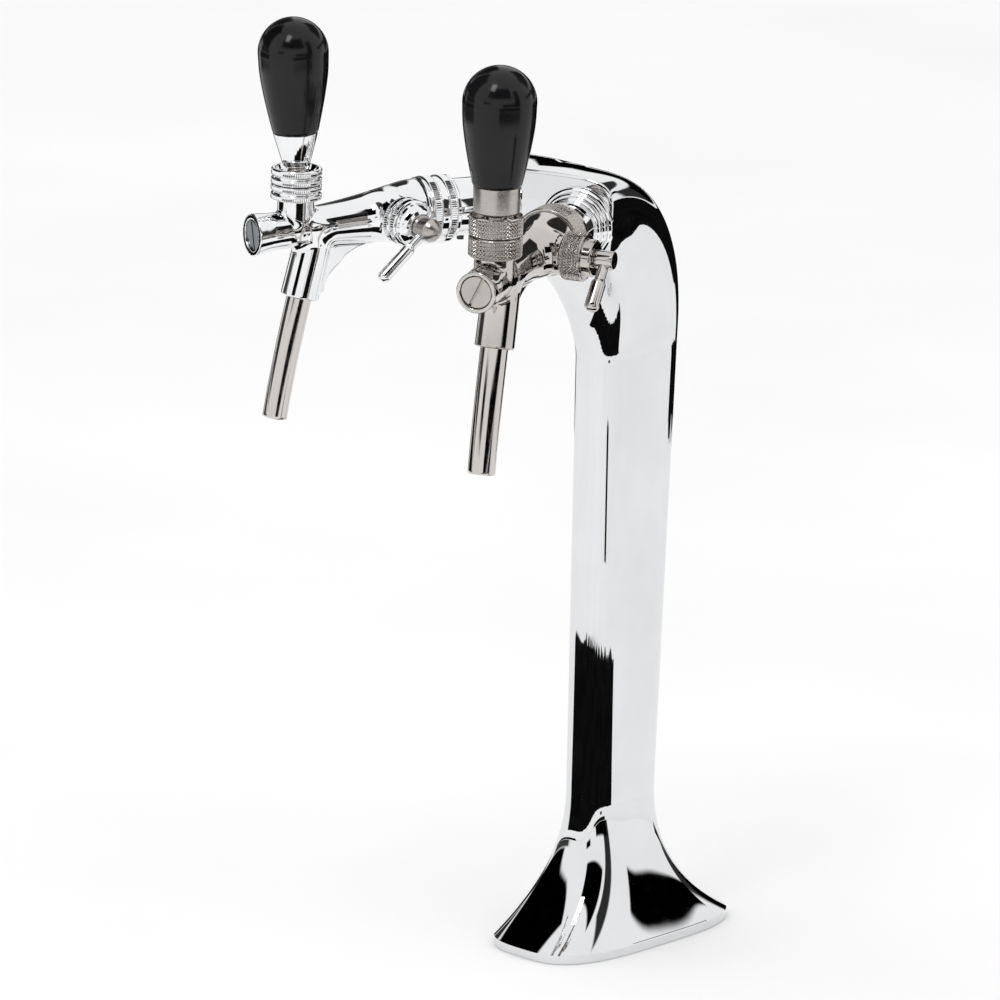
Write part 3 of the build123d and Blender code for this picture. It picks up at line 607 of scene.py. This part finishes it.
def implicit_mesh(field, low, high, cell):
    """Quads over the zero level of a field, with points moved on to it in a few steps."""
    axes = [np.arange(a, b + cell, cell) for a, b in zip(low, high)]
    corners = np.stack(np.meshgrid(*axes, indexing="ij"), -1)
    inside = field(corners.reshape(-1, 3)).reshape(corners.shape[:3]) < 0
    near = np.zeros(tuple(n - 1 for n in inside.shape), int)
    for dx in (0, 1):
        for dy in (0, 1):
            for dz in (0, 1):
                near += inside[dx:dx + near.shape[0], dy:dy + near.shape[1], dz:dz + near.shape[2]]
    mixed = (near > 0) & (near < 8)
    number = np.full(mixed.shape, -1)
    number[mixed] = np.arange(mixed.sum())
    cells = np.argwhere(mixed)
    points = np.array([axes[k][0] for k in range(3)]) + (cells + 0.5) * cell
    home = points.copy()
    for _ in range(6):
        value, slope = with_slope(field, points)
        step = value[:, None] * slope / np.maximum((slope**2).sum(-1, keepdims=True), 0.05)
        points = home + np.clip(points - step - home, -1.2 * cell, 1.2 * cell)
    faces = []
    for axis in range(3):
        other = [k for k in range(3) if k != axis]
        before = np.take(inside, np.arange(inside.shape[axis] - 1), axis)
        after = np.take(inside, np.arange(1, inside.shape[axis]), axis)
        for flip, crossing in ((False, before & ~after), (True, ~before & after)):
            at = np.argwhere(crossing)
            for k in other:
                at = at[(at[:, k] > 0) & (at[:, k] < mixed.shape[k])]
            ring = []
            for a, b in ((0, 0), (1, 0), (1, 1), (0, 1)):
                index = at.copy()
                index[:, other[0]] -= a
                index[:, other[1]] -= b
                ring.append(number[tuple(index.T)])
            quads = np.stack(ring, -1)
            faces += (quads[:, ::-1] if flip ^ (axis == 1) else quads).tolist()
    _, slope = with_slope(field, points)
    normals = slope / np.maximum(np.linalg.norm(slope, axis=1, keepdims=True), 1e-9)
    return points, faces, normals


def with_slope(field, points, step=0.02):
    """The field's values at the points and its slopes there, found by small steps each way."""
    slope = np.empty_like(points)
    for axis in range(3):
        shift = np.zeros(3)
        shift[axis] = step
        slope[:, axis] = (field(points + shift) - field(points - shift)) / (2 * step)
    return field(points), slope


def tap_body_field(tap):
    side = tap.side
    stations = [37.5, 46.3, 52, 60, 70, 82, 95, 108, 122, 131, 137, 141]
    radii = [17.0, 16.8, 16.5, 15.3, 13.7, 12.0, tap.barrel_radius + 0.7, tap.barrel_radius]
    radii += [tap.barrel_radius, tap.barrel_radius + 0.2, tap.rim_radius - 0.5, tap.rim_radius]
    collar, control = collar_spindle(tap), control_spindle(tap)
    spout, valve, line = spout_spindle(tap), valve_spindle(tap), tap_spindle(tap)
    face, ahead, right = spot(side, 0), forward(side), rightward(side)

    def field(points):
        offset = points - face
        along, across, up = offset @ ahead, offset @ right, offset[..., 2]
        barrel = np.hypot(across, up - centre_height(along)) - curve_through(along, stations, radii)
        barrel = smooth_common(barrel, np.maximum(46.6 - along, along - BODY_FRONT), 0.8)
        tail = cone_field(points, line, 38.0, 50.0, 11.6, 11.6, 0.4)
        neck = cone_field(points, collar, -34, -1.6, tap.neck_radius, tap.neck_radius, 0.5)
        boss = cone_field(points, control, 2, 19.7, 11.8, tap.boss_radius - 0.8, 0.6)
        lip = cone_field(points, control, 16.6, 19.7, tap.boss_radius, tap.boss_radius, 0.6)
        housing = cone_field(points, spout, -2, HOUSING_LENGTH, tap.housing_top, tap.housing_end, 1.0)
        sheet = np.abs(across) - WEB_HALF_THICKNESS
        web = smooth_common(sheet, np.maximum(web_outline(along, up, tap), up - WEB_TOP), 1.6)
        shape = smooth_union(barrel, housing, 4.0)
        shape = smooth_union(shape, web, 2.4)
        shape = smooth_union(shape, neck, 1.8)
        shape = smooth_union(shape, boss, 4.5)
        shape = np.minimum(shape, lip)
        shape = np.minimum(shape, tail)
        bore = tap.plug_radius + 0.25
        recess = cone_field(points, valve, 18.4, 40, bore, bore, 0.2)
        shape = smooth_cut(shape, recess, 0.5)
        bore = tap.spout_radius + 0.05
        socket = cone_field(points, spout, HOUSING_LENGTH - 14, HOUSING_LENGTH + 9, bore, bore, 0.2)
        return smooth_cut(shape, socket, 0.4)

    return field


def web_outline(along, up, tap):
    """Side outline of the web: a concave back edge from the housing up to the body."""
    heel = 101.5 - 0.9 * (tap.housing_end - 10)
    bottom = SPOUT_UP - HOUSING_LENGTH * cos(SPOUT_TILT) + 2.2
    heights = [-44, bottom, -30, -24, -19, -15.5, -13]
    backs = [heel - 2.2, heel - 1.8, heel - 5.0, 90.5, 85.5, 77.5, 66]
    back = curve_through(up, heights, backs)
    slope = 0.8
    return np.maximum((back - along) * slope, np.maximum(bottom - up, along - WEB_FRONT))


def make_body(tap, material):
    centre = spot(tap.side, 88, 0, -14)
    low = centre - np.array([36, 62, 34])
    high = centre + np.array([36, 62, 44])
    points, faces, normals = implicit_mesh(tap_body_field(tap), low, high, BODY_CELL)
    make_piece(f"body_{tap.name}", points, faces, material, f"tap_body_{tap.name}", normals=normals)


make_body(LEFT, TAP_CHROME)
make_body(RIGHT, POLISHED)

# ---------------------------------------------------------------- between the head and the taps

flange = [(0, 8.2), (0, 20.2), (3.0, 20.2), (4.2, 19.0), (4.2, 17.9), (6.8, 17.9), (7.8, 16.9)]
flange += [(7.8, 16.2), (9.8, 16.2), (11, 15.2), (11, 8.2)]
sleeve = [(11, 8.2), (11, 15.3), (27, 15.3), (27, 8.2)]
for tap in (LEFT, RIGHT):
    line, name = tap_spindle(tap), tap.name
    turned(f"escutcheon_{name}", line, flange, TAP_CHROME, f"flange_{name}", True, 0.5)
    turned(f"spacer_{name}", line, sleeve, TAP_CHROME, f"sleeve_{name}", True, 0.5)

left_nut = [(27.2, 13.6), (27.2, 17.0), (27.8, 17.6), (29.4, 17.6), (29.8, 18.0), (34.0, 18.0)]
left_nut += [(34.4, 17.3), (38.2, 17.3), (38.6, 18.0), (43.0, 18.0), (43.4, 17.2), (44.2, 17.2)]
left_nut += [(44.5, 17.7), (45.6, 17.5), (46.0, 16.9), (46.0, 11.9), (40.3, 11.9), (40.3, 13.6)]
turned(
    "ring_nut_left", tap_spindle(LEFT), left_nut, TAP_CHROME, "ring_nut_left", True, 0.25,
    bands=[(29.8, 34.0, 17.4, "straight", 96, 0.45), (38.6, 43.0, 17.4, "straight", 96, 0.45)],
    holes=[(36.3, 60 * step + 30, 1.5, 16) for step in range(6)],
)
right_nut = [(27.2, 13.6), (27.2, 16.6), (27.8, 17.2), (31.4, 17.2), (31.8, 18.0), (45.4, 18.0)]
right_nut += [(46.0, 17.4), (46.0, 11.9), (40.3, 11.9), (40.3, 13.6)]
turned(
    "ring_nut_right", tap_spindle(RIGHT), right_nut, KNURLED, "ring_nut_right", True, 0.25,
    bands=[(31.8, 45.4, 17.4, "diamond", 58, 0.7)],
    holes=[(36.8, 60 * step + 30, 1.5, 16) for step in range(6)],
)

# ---------------------------------------------------------------- collars, levers, ferrules and knobs

BORE, ROD_BORE = 11.1, 3.05
left_lower = [(-12.7, BORE), (-12.7, 12.3), (-12.2, 13.4), (-9.9, 13.4), (-9.3, 12.4), (-8.1, 12.4)]
left_lower += [(-7.5, 13.4), (-5.2, 13.4), (-4.7, 12.3), (-4.7, BORE)]
left_upper = [(-4.4, BORE), (-4.4, 12.3), (-3.9, 13.4), (-1.6, 13.4), (-1.0, 12.4), (0.1, 12.4)]
left_upper += [(0.7, 13.4), (3.2, 13.4), (4.0, 12.8), (4.0, 11.4), (0.9, 10.2), (0.9, 5.5)]
left_upper += [(-1.3, 5.75), (-1.3, BORE)]
turned(
    "collar_lower_left", collar_spindle(LEFT), left_lower, TAP_CHROME, "collar_lower_left", True, 0.3,
    bands=[(-12.2, -9.9, 12.6, "straight", 72, 0.4), (-7.5, -5.2, 12.6, "straight", 72, 0.4)],
)
turned(
    "collar_upper_left", collar_spindle(LEFT), left_upper, TAP_CHROME, "collar_upper_left", True, 0.3,
    bands=[(-3.9, -1.6, 12.6, "straight", 72, 0.4), (0.7, 3.2, 12.6, "straight", 72, 0.4)],
)
right_lower = [(-19.0, BORE), (-19.0, 13.1), (-18.2, 14.0), (-8.8, 14.0), (-8.0, 13.1), (-8.0, BORE)]
right_upper = [(-7.7, BORE), (-7.7, 13.1), (-6.9, 14.0), (2.2, 14.0), (2.9, 13.7), (2.9, 13.4)]
right_upper += [(-0.9, 12.9), (0.9, 5.5), (-1.3, 5.75), (-1.3, BORE)]
turned(
    "collar_lower_right", collar_spindle(RIGHT), right_lower, KNURLED, "collar_lower_right", True, 0.3,
    bands=[(-18.4, -8.6, 13.4, "diamond", 44, 0.7)],
)
turned(
    "collar_upper_right", collar_spindle(RIGHT), right_upper, KNURLED, "collar_upper_right", True, 0.3,
    bands=[(-7.1, 2.3, 13.4, "diamond", 44, 0.7)],
)


def make_lever(tap):
    """Rod with a ball at the pivot, a small ball at its lower end and a plain top inside the knob."""
    reach = tap.pivot_up - centre_height(LEVER_AT)
    top = tap.ferrule_top + 17.9
    tip_ball, pivot_ball = 2.6, 5.5
    outline = []
    for step in range(13):
        angle = pi * step / 16
        outline.append((-reach - tip_ball * cos(angle), tip_ball * sin(angle)))
    outline += [(-reach + 3.0, 1.8), (-6.2, 1.8)]
    for step in range(3, 15):
        angle = pi * step / 16
        outline.append((-pivot_ball * cos(angle), pivot_ball * sin(angle)))
    outline += [(5.2, 3.0), (top - 0.3, 3.0), (top, 2.7), (top, 0)]
    name = f"lever_rod_{tap.name}"
    turned(name, lever_spindle(tap), outline, SATIN, f"lever_{tap.name}", False, 0.2)


def make_knob(tap):
    """Bell-shaped grip with a round top."""
    foot = tap.ferrule_top + 0.2
    shoulder = foot + tap.knob_length - tap.knob_radius
    socket = foot + 18.0
    outline = [(socket, 0), (socket, ROD_BORE), (foot, ROD_BORE), (foot, tap.knob_foot - 0.5)]
    outline += [(foot + 0.5, tap.knob_foot)]
    heights = [blend(foot, shoulder, share) for share in (0, 0.25, 0.5, 0.75, 1)]
    widths = [blend(tap.knob_foot, tap.knob_radius, share) for share in (0, 0.36, 0.68, 0.92, 1)]
    profile = np.linspace(foot + 1.2, shoulder, 40)
    outline += list(zip(profile, curve_through(profile, heights, widths)))
    for step in range(1, 41):
        angle = pi / 2 * step / 40
        outline.append((shoulder + tap.knob_radius * sin(angle), tap.knob_radius * cos(angle)))
    outline[-1] = (outline[-1][0], 0.0)
    turned(f"grip_{tap.name}", lever_spindle(tap), outline, KNOB, f"knob_{tap.name}", False, 0.05)


for tap in (LEFT, RIGHT):
    make_lever(tap)
    make_knob(tap)
left_ferrule = [(4.8, 3.4), (4.8, 5.8), (5.3, 7.0), (LEFT.ferrule_top, 11.9)]
left_ferrule += [(LEFT.ferrule_top, ROD_BORE), (5.2, ROD_BORE)]
right_ferrule = [(3.2, 4.7), (3.2, 8.0), (4.4, 11.5), (4.9, 12.0), (RIGHT.ferrule_top, 12.2)]
right_ferrule += [(RIGHT.ferrule_top, ROD_BORE), (5.2, ROD_BORE)]
turned("ferrule_left", lever_spindle(LEFT), left_ferrule, TAP_CHROME, "ferrule_left", True, 0.4)
turned("ferrule_right", lever_spindle(RIGHT), right_ferrule, SATIN, "ferrule_right", True, 0.4)

# ---------------------------------------------------------------- front plugs and spouts

PLUG_BACK, SLOT_HALF_WIDTH, SLOT_DEPTH = 15.5, 0.65, 1.6
SPOUT_AROUND, SPOUT_WALL = 96, 1.0


def make_plug(tap, material):
    """Slotted plug in the front of the valve bore."""
    spindle = valve_spindle(tap)
    slot = radians(tap.slot_angle)
    right = -rightward(tap.side)
    across = np.cos(slot) * right + np.sin(slot) * np.cross(spindle.along, right)

    def field(points):
        disc = cone_field(points, spindle, PLUG_BACK, PLUG_FRONT, tap.plug_radius, tap.plug_radius, 0.4)
        offset = points - spindle.origin
        floor_of_slot = PLUG_FRONT - SLOT_DEPTH - offset @ spindle.along
        trench = np.maximum(np.abs(offset @ across) - SLOT_HALF_WIDTH, floor_of_slot)
        return smooth_cut(disc, trench, 0.25)

    middle = spindle.origin + spindle.along * 20
    reach = np.array([11.0, 11.0, 9.6])
    points, faces, normals = implicit_mesh(field, middle - reach, middle + reach, PLUG_CELL)
    offset = points - spindle.origin
    along = offset @ spindle.along
    radius = np.linalg.norm(offset - along[:, None] * spindle.along, axis=1)
    turning = np.stack([radius, along * 0, along * 0.2], -1)
    make_piece(f"plug_{tap.name}", points, faces, material, f"front_plug_{tap.name}", turning, normals)


make_plug(LEFT, DARK_PLUG)
make_plug(RIGHT, SATIN)


def make_spout(tap):
    """Bent outlet tube with an open, slightly rounded end."""
    start = spout_spindle(tap)
    ahead = forward(tap.side)
    origin = start.origin + start.along * (HOUSING_LENGTH - 13.8)
    straight, whole_length = 16.0, 63.0
    slant = SPOUT_TILT - radians(4)
    bend_start = origin + start.along * straight
    target = origin + start.along * 45 + (ahead * sin(slant) - UP * cos(slant)) * 34
    chord = target - bend_start
    length = np.linalg.norm(chord)
    bend = 2 * np.arccos(np.clip(chord.dot(start.along) / length, -1, 1))
    radius = length / (2 * sin(bend / 2))
    inward = chord - start.along * chord.dot(start.along)
    inward = inward / np.linalg.norm(inward)
    stations = []
    for step in range(9):
        stations.append((origin + start.along * straight * step / 8, start.along))
    for step in range(1, 41):
        angle = bend * step / 40
        place = bend_start + start.along * radius * sin(angle) + inward * radius * (1 - cos(angle))
        stations.append((place, start.along * cos(angle) + inward * sin(angle)))
    wide = tap.spout_radius
    rows, turning = [], []
    angle = np.arange(SPOUT_AROUND) / SPOUT_AROUND * 2 * pi
    right = rightward(tap.side)

    def ring(place, direction, size, distance):
        normal = np.cross(right, direction)
        across, upward = np.outer(np.cos(angle), right), np.outer(np.sin(angle), normal)
        rows.append(place + across * size + upward * size)
        steady = np.ones(SPOUT_AROUND)
        turning.append(np.stack([angle * wide, steady * distance, steady * size], -1))

    travelled = np.linspace(0, whole_length, len(stations))
    for (place, direction), distance in zip(stations, travelled):
        ring(place, direction, wide, distance)
    end, direction = stations[-1]
    rows[-1] -= direction * 0.35
    for back, shrink in ((0.1, 0.1), (0.0, 0.35), (0.0, 0.7), (0.25, SPOUT_WALL)):
        ring(end - direction * back, direction, wide - shrink, whole_length)
    for (place, direction), distance in list(zip(stations, travelled))[-2::-1]:
        ring(place, direction, wide - SPOUT_WALL, distance)
    points = np.array(rows).reshape(-1, 3)
    turning = np.array(turning).reshape(-1, 3)
    faces = grid_faces(len(rows), SPOUT_AROUND, True, True)
    tidy_mesh(make_piece(f"spout_{tap.name}", points, faces, SPOUT, f"spout_tube_{tap.name}", turning))


for tap in (LEFT, RIGHT):
    make_spout(tap)

# ---------------------------------------------------------------- flow controls

left_bonnet = [(20, 4.3), (20, 12.0), (20.4, 12.8), (23.8, 12.8), (24.2, 12.0), (25.4, 12.0)]
left_bonnet += [(25.8, 12.8), (29.6, 12.8), (30.2, 12.0), (30.4, 11.2), (32.6, 10.9), (34.4, 10.0)]
left_bonnet += [(35.8, 8.6), (36.6, 6.8), (36.6, 4.3)]
turned(
    "bonnet_left", control_spindle(LEFT), left_bonnet, TAP_CHROME, "control_nut_left", True, 0.3,
    bands=[(20.4, 23.8, 12.3, "straight", 64, 0.45), (25.8, 29.6, 12.3, "straight", 64, 0.45)],
)
right_bonnet = [(20, 4.3), (20, 12.0), (20.8, 12.8), (30.8, 12.8), (31.4, 12.0), (31.6, 9.8)]
right_bonnet += [(35.8, 9.8), (36.4, 9.0), (36.4, 4.3)]
turned(
    "bonnet_right", control_spindle(RIGHT), right_bonnet, KNURLED, "control_nut_right", True, 0.3,
    bands=[(20.8, 30.8, 12.3, "diamond", 42, 0.65)],
)
left_hub = [(19.6, 0), (19.6, 4.1), (37.0, 4.1), (37.0, 5.6), (37.6, 6.2), (46.4, 6.2)]
left_hub += [(48.8, 4.6), (50.8, 2.4), (51.6, 0.8), (51.6, 0)]
right_hub = [(19.6, 0), (19.6, 4.1), (36.8, 4.1), (36.8, 4.4), (37.2, 4.9), (46.4, 4.9)]
right_hub += [(46.8, 4.5), (46.8, 0)]
turned("hub_left", control_spindle(LEFT), left_hub, SATIN, "control_hub_left", False, 0.6)
turned("hub_right", control_spindle(RIGHT), right_hub, POLISHED, "control_hub_right", False, 0.4)


def make_control_lever(tap, material):
    """Slim lever with a rounded end, pointing forward and down from the hub."""
    ahead = turned_about_z(forward(tap.side), tap.control_swing)
    control = control_spindle(tap)
    direction = ahead * cos(tap.control_droop) - UP * sin(tap.control_droop)
    root = control.origin + control.along * tap.lever_across
    thick, length = tap.control_lever_radius, tap.control_lever_length
    start = tap.hub_radius - 0.6
    slim = 0.7 * thick
    outline = [(start, 0), (start, slim), (start + 7.5, slim), (start + 9.5, thick)]
    tip = thick * 0.9
    outline += [(length - tip, thick)]
    for step in range(1, 11):
        angle = pi / 2 * step / 10
        outline.append((length - tip * (1 - sin(angle)), thick * (0.15 + 0.85 * cos(angle))))
    outline.append((length, 0))
    name, spindle = f"control_arm_{tap.name}", Spindle(root, direction, control.along)
    turned(name, spindle, outline, material, f"control_lever_{tap.name}", False, 0.5)


make_control_lever(LEFT, TAP_CHROME)
make_control_lever(RIGHT, POLISHED)

# ---------------------------------------------------------------- floor, light and camera

floor_mesh = bpy.data.meshes.new("floor")
floor_mesh.from_pydata([(-6, -6, 0), (6, -6, 0), (6, 6, 0), (-6, 6, 0)], [], [(0, 1, 2, 3)])
floor = bpy.data.objects.new("floor", floor_mesh)
bpy.context.scene.collection.objects.link(floor)
floor_shader = Shader("floor_paper", Roughness=0.9, Specular_IOR_Level=0.1)
floor_shader.shades(floor_shader.noise(3, 2), (0.86, 0.86, 0.86), (0.9, 0.9, 0.9))
floor_mesh.materials.append(floor_shader.material)

DIFFUSE_LIGHT = 1.08  # strength of the surroundings for everything but mirror-like rays

# Dark screens round the set, as (azimuth, half width, lowest rise, highest rise, softness), all in
# degrees, and darkness from 0 to 1. Azimuth 0 is straight in front of the spouts and 90 is to the
# right of them.
SCREENS = [
    (-137, 38, -4, 10, 1.5, 1.0),
    (-72, 27, 5, 60, 1.5, 1.0),
    (42, 40, 22, 54, 1.5, 1.0),
    (152, 20, 8.5, 14, 0.5, 1.0),
    (195, 26, -6, 11, 1.5, 0.97),
    (78, 26, -3, 6, 1.0, 1.0),
    (3, 11, 3.5, 9, 1.0, 1.0),
    (-62, 21, -8, 4.5, 1.0, 0.95),
    (-118, 16, 12, 50, 1.5, 0.97),
    (100, 9, -3, 40, 1.5, 0.97),
    (180, 22, 20, 48, 1.5, 0.97),
]
CARD_BLACK, CARD_GREY = (0.002, 0.002, 0.002), (0.006, 0.006, 0.006)


class Studio:
    """Soft white surroundings in which only mirror-like surfaces see the dark screens."""

    def __init__(self, world):
        world.use_nodes = True
        self.nodes = world.node_tree.nodes
        self.links = world.node_tree.links
        self.direction = self.nodes.new("ShaderNodeTexCoord").outputs["Generated"]

    def math(self, operation, first, second=None):
        node = self.nodes.new("ShaderNodeMath")
        node.operation = operation
        for socket, value in zip(node.inputs, (first, second)):
            if isinstance(value, (int, float)):
                socket.default_value = value
            elif value is not None:
                self.links.new(value, socket)
        return node.outputs["Value"]

    def along(self, vector):
        node = self.nodes.new("ShaderNodeVectorMath")
        node.operation = "DOT_PRODUCT"
        self.links.new(self.direction, node.inputs[0])
        node.inputs[1].default_value = vector
        return node.outputs["Value"]

    def past(self, value, edge, soft):
        """0 below an edge and 1 above it, changing smoothly within soft on either side."""
        node = self.nodes.new("ShaderNodeMapRange")
        node.interpolation_type = "SMOOTHSTEP"
        node.inputs["From Min"].default_value = edge - soft
        node.inputs["From Max"].default_value = edge + soft
        self.links.new(value, node.inputs["Value"])
        return node.outputs["Result"]

    def screen(self, azimuth, half_width, lowest, highest, softness, darkness):
        """How much light is left beyond one screen: 1 outside it, 1 - darkness inside."""
        turn, soft = radians(azimuth), radians(softness)
        ahead = self.along((sin(turn), -cos(turn), 0))
        aside = self.along((cos(turn), sin(turn), 0))
        swing = self.math("ABSOLUTE", self.math("ARCTAN2", aside, ahead))
        rise = self.math("ARCSINE", self.along((0, 0, 1)))
        inside = self.math("SUBTRACT", 1.0, self.past(swing, radians(half_width), soft))
        inside = self.math("MULTIPLY", inside, self.past(rise, radians(lowest), soft))
        below = self.math("SUBTRACT", 1.0, self.past(rise, radians(highest), soft))
        inside = self.math("MULTIPLY", inside, below)
        return self.math("SUBTRACT", 1.0, self.math("MULTIPLY", inside, darkness))


world = bpy.context.scene.world or bpy.data.worlds.new("studio")
bpy.context.scene.world = world
studio = Studio(world)
mirrored = 1.0
for screen in SCREENS:
    mirrored = studio.math("MULTIPLY", mirrored, studio.screen(*screen))
glossy = studio.nodes.new("ShaderNodeLightPath").outputs["Is Glossy Ray"]
plain = studio.math("MULTIPLY", studio.math("SUBTRACT", 1.0, glossy), DIFFUSE_LIGHT)
strength = studio.math("ADD", plain, studio.math("MULTIPLY", glossy, mirrored))
background = studio.nodes["Background"]
background.inputs["Color"].default_value = (1, 1, 1, 1)
studio.links.new(strength, background.inputs["Strength"])

# Dark cards that lie on the floor and that only mirror-like rays see, as (from azimuth, to azimuth)
# in degrees and (near radius, far radius, wave of the edges) in metres.
CARD_STEPS, CARD_HEIGHT = 96, 0.0006
CARDS = [
    (-46, 122, 0.24, 0.55, 0.006),
    (86, 94, 0.74, 1.06, 0.0),
    (160, 262, 1.05, 4.5, 0.03),
    (40, 104, 1.6, 5.0, 0.0),
    (-84, -38, 1.6, 5.0, 0.0),
]
card_shader = Shader("card_black", Roughness=0.9, Specular_IOR_Level=0.0)
card_shader.shades(card_shader.noise(12, 5), CARD_BLACK, CARD_GREY)


def card_shape(start, end, near, far, wave):
    """Points and quads of a flat ring sector whose edges wave in and out."""
    points = []
    for step in range(CARD_STEPS + 1):
        turn = radians(start + (end - start) * step / CARD_STEPS)
        ripple = wave * (sin(turn * 23) + 0.6 * sin(turn * 41 + 1.0))
        for radius in (near + ripple, far + ripple * 1.6):
            points.append((radius * sin(turn), -radius * cos(turn), CARD_HEIGHT))
    faces = [(first, first + 1, first + 3, first + 2) for first in range(0, 2 * CARD_STEPS, 2)]
    return points, faces


for number, sector in enumerate(CARDS):
    points, faces = card_shape(*sector)
    card_mesh = bpy.data.meshes.new(f"card_{number}")
    card_mesh.from_pydata(points, [], faces)
    card = bpy.data.objects.new(f"card_{number}", card_mesh)
    bpy.context.scene.collection.objects.link(card)
    card_mesh.materials.append(card_shader.material)
    card.visible_camera = False
    card.visible_diffuse = False
    card.visible_shadow = False

# A soft light high on the left of the camera, which the handles mirror near their tops.
SOFTBOX_WIDTH, SOFTBOX_LENGTH, SOFTBOX_WATTS = 0.45, 0.75, 6.5
SOFTBOX_AZIMUTH, SOFTBOX_OUT, SOFTBOX_HEIGHT = radians(12), 1.3, 2.1
SOFTBOX_TARGET = Vector((0, -0.1, 0.45))
softbox_data = bpy.data.lights.new("softbox", "AREA")
softbox_data.shape = "RECTANGLE"
softbox_data.size = SOFTBOX_WIDTH
softbox_data.size_y = SOFTBOX_LENGTH
softbox_data.energy = SOFTBOX_WATTS
softbox = bpy.data.objects.new("softbox", softbox_data)
softbox_place = Vector((
    sin(SOFTBOX_AZIMUTH) * SOFTBOX_OUT, -cos(SOFTBOX_AZIMUTH) * SOFTBOX_OUT, SOFTBOX_HEIGHT,
))
softbox.location = softbox_place
softbox.rotation_euler = (softbox_place - SOFTBOX_TARGET).to_track_quat("Z", "Y").to_euler()
bpy.context.scene.collection.objects.link(softbox)

CAMERA_AZIMUTH, CAMERA_RISE, CAMERA_ROLL = radians(42.33), radians(15.34), radians(1.93)
CAMERA_DISTANCE = 5001.0
CAMERA_TARGET = np.array([-95.1, 3.6, 221.1])
back = np.array([
    sin(CAMERA_AZIMUTH) * cos(CAMERA_RISE), -cos(CAMERA_AZIMUTH) * cos(CAMERA_RISE), sin(CAMERA_RISE),
])
level = np.array([cos(CAMERA_AZIMUTH), sin(CAMERA_AZIMUTH), 0.0])
upward = np.cross(back, level)
right = cos(CAMERA_ROLL) * level + sin(CAMERA_ROLL) * upward
above = -sin(CAMERA_ROLL) * level + cos(CAMERA_ROLL) * upward
place = (CAMERA_TARGET + back * CAMERA_DISTANCE) * MM
bpy.context.scene.view_settings.view_transform = "Standard"

camera_data = bpy.data.cameras.new("camera")
camera_data.lens = 331.0
camera_data.sensor_width = 36.0
camera_data.clip_end = 50.0
camera = bpy.data.objects.new("camera", camera_data)
camera.matrix_world = Matrix([
    (right[0], above[0], back[0], place[0]),
    (right[1], above[1], back[1], place[1]),
    (right[2], above[2], back[2], place[2]),
    (0, 0, 0, 1),
])
bpy.context.scene.collection.objects.link(camera)
bpy.context.scene.camera = camera
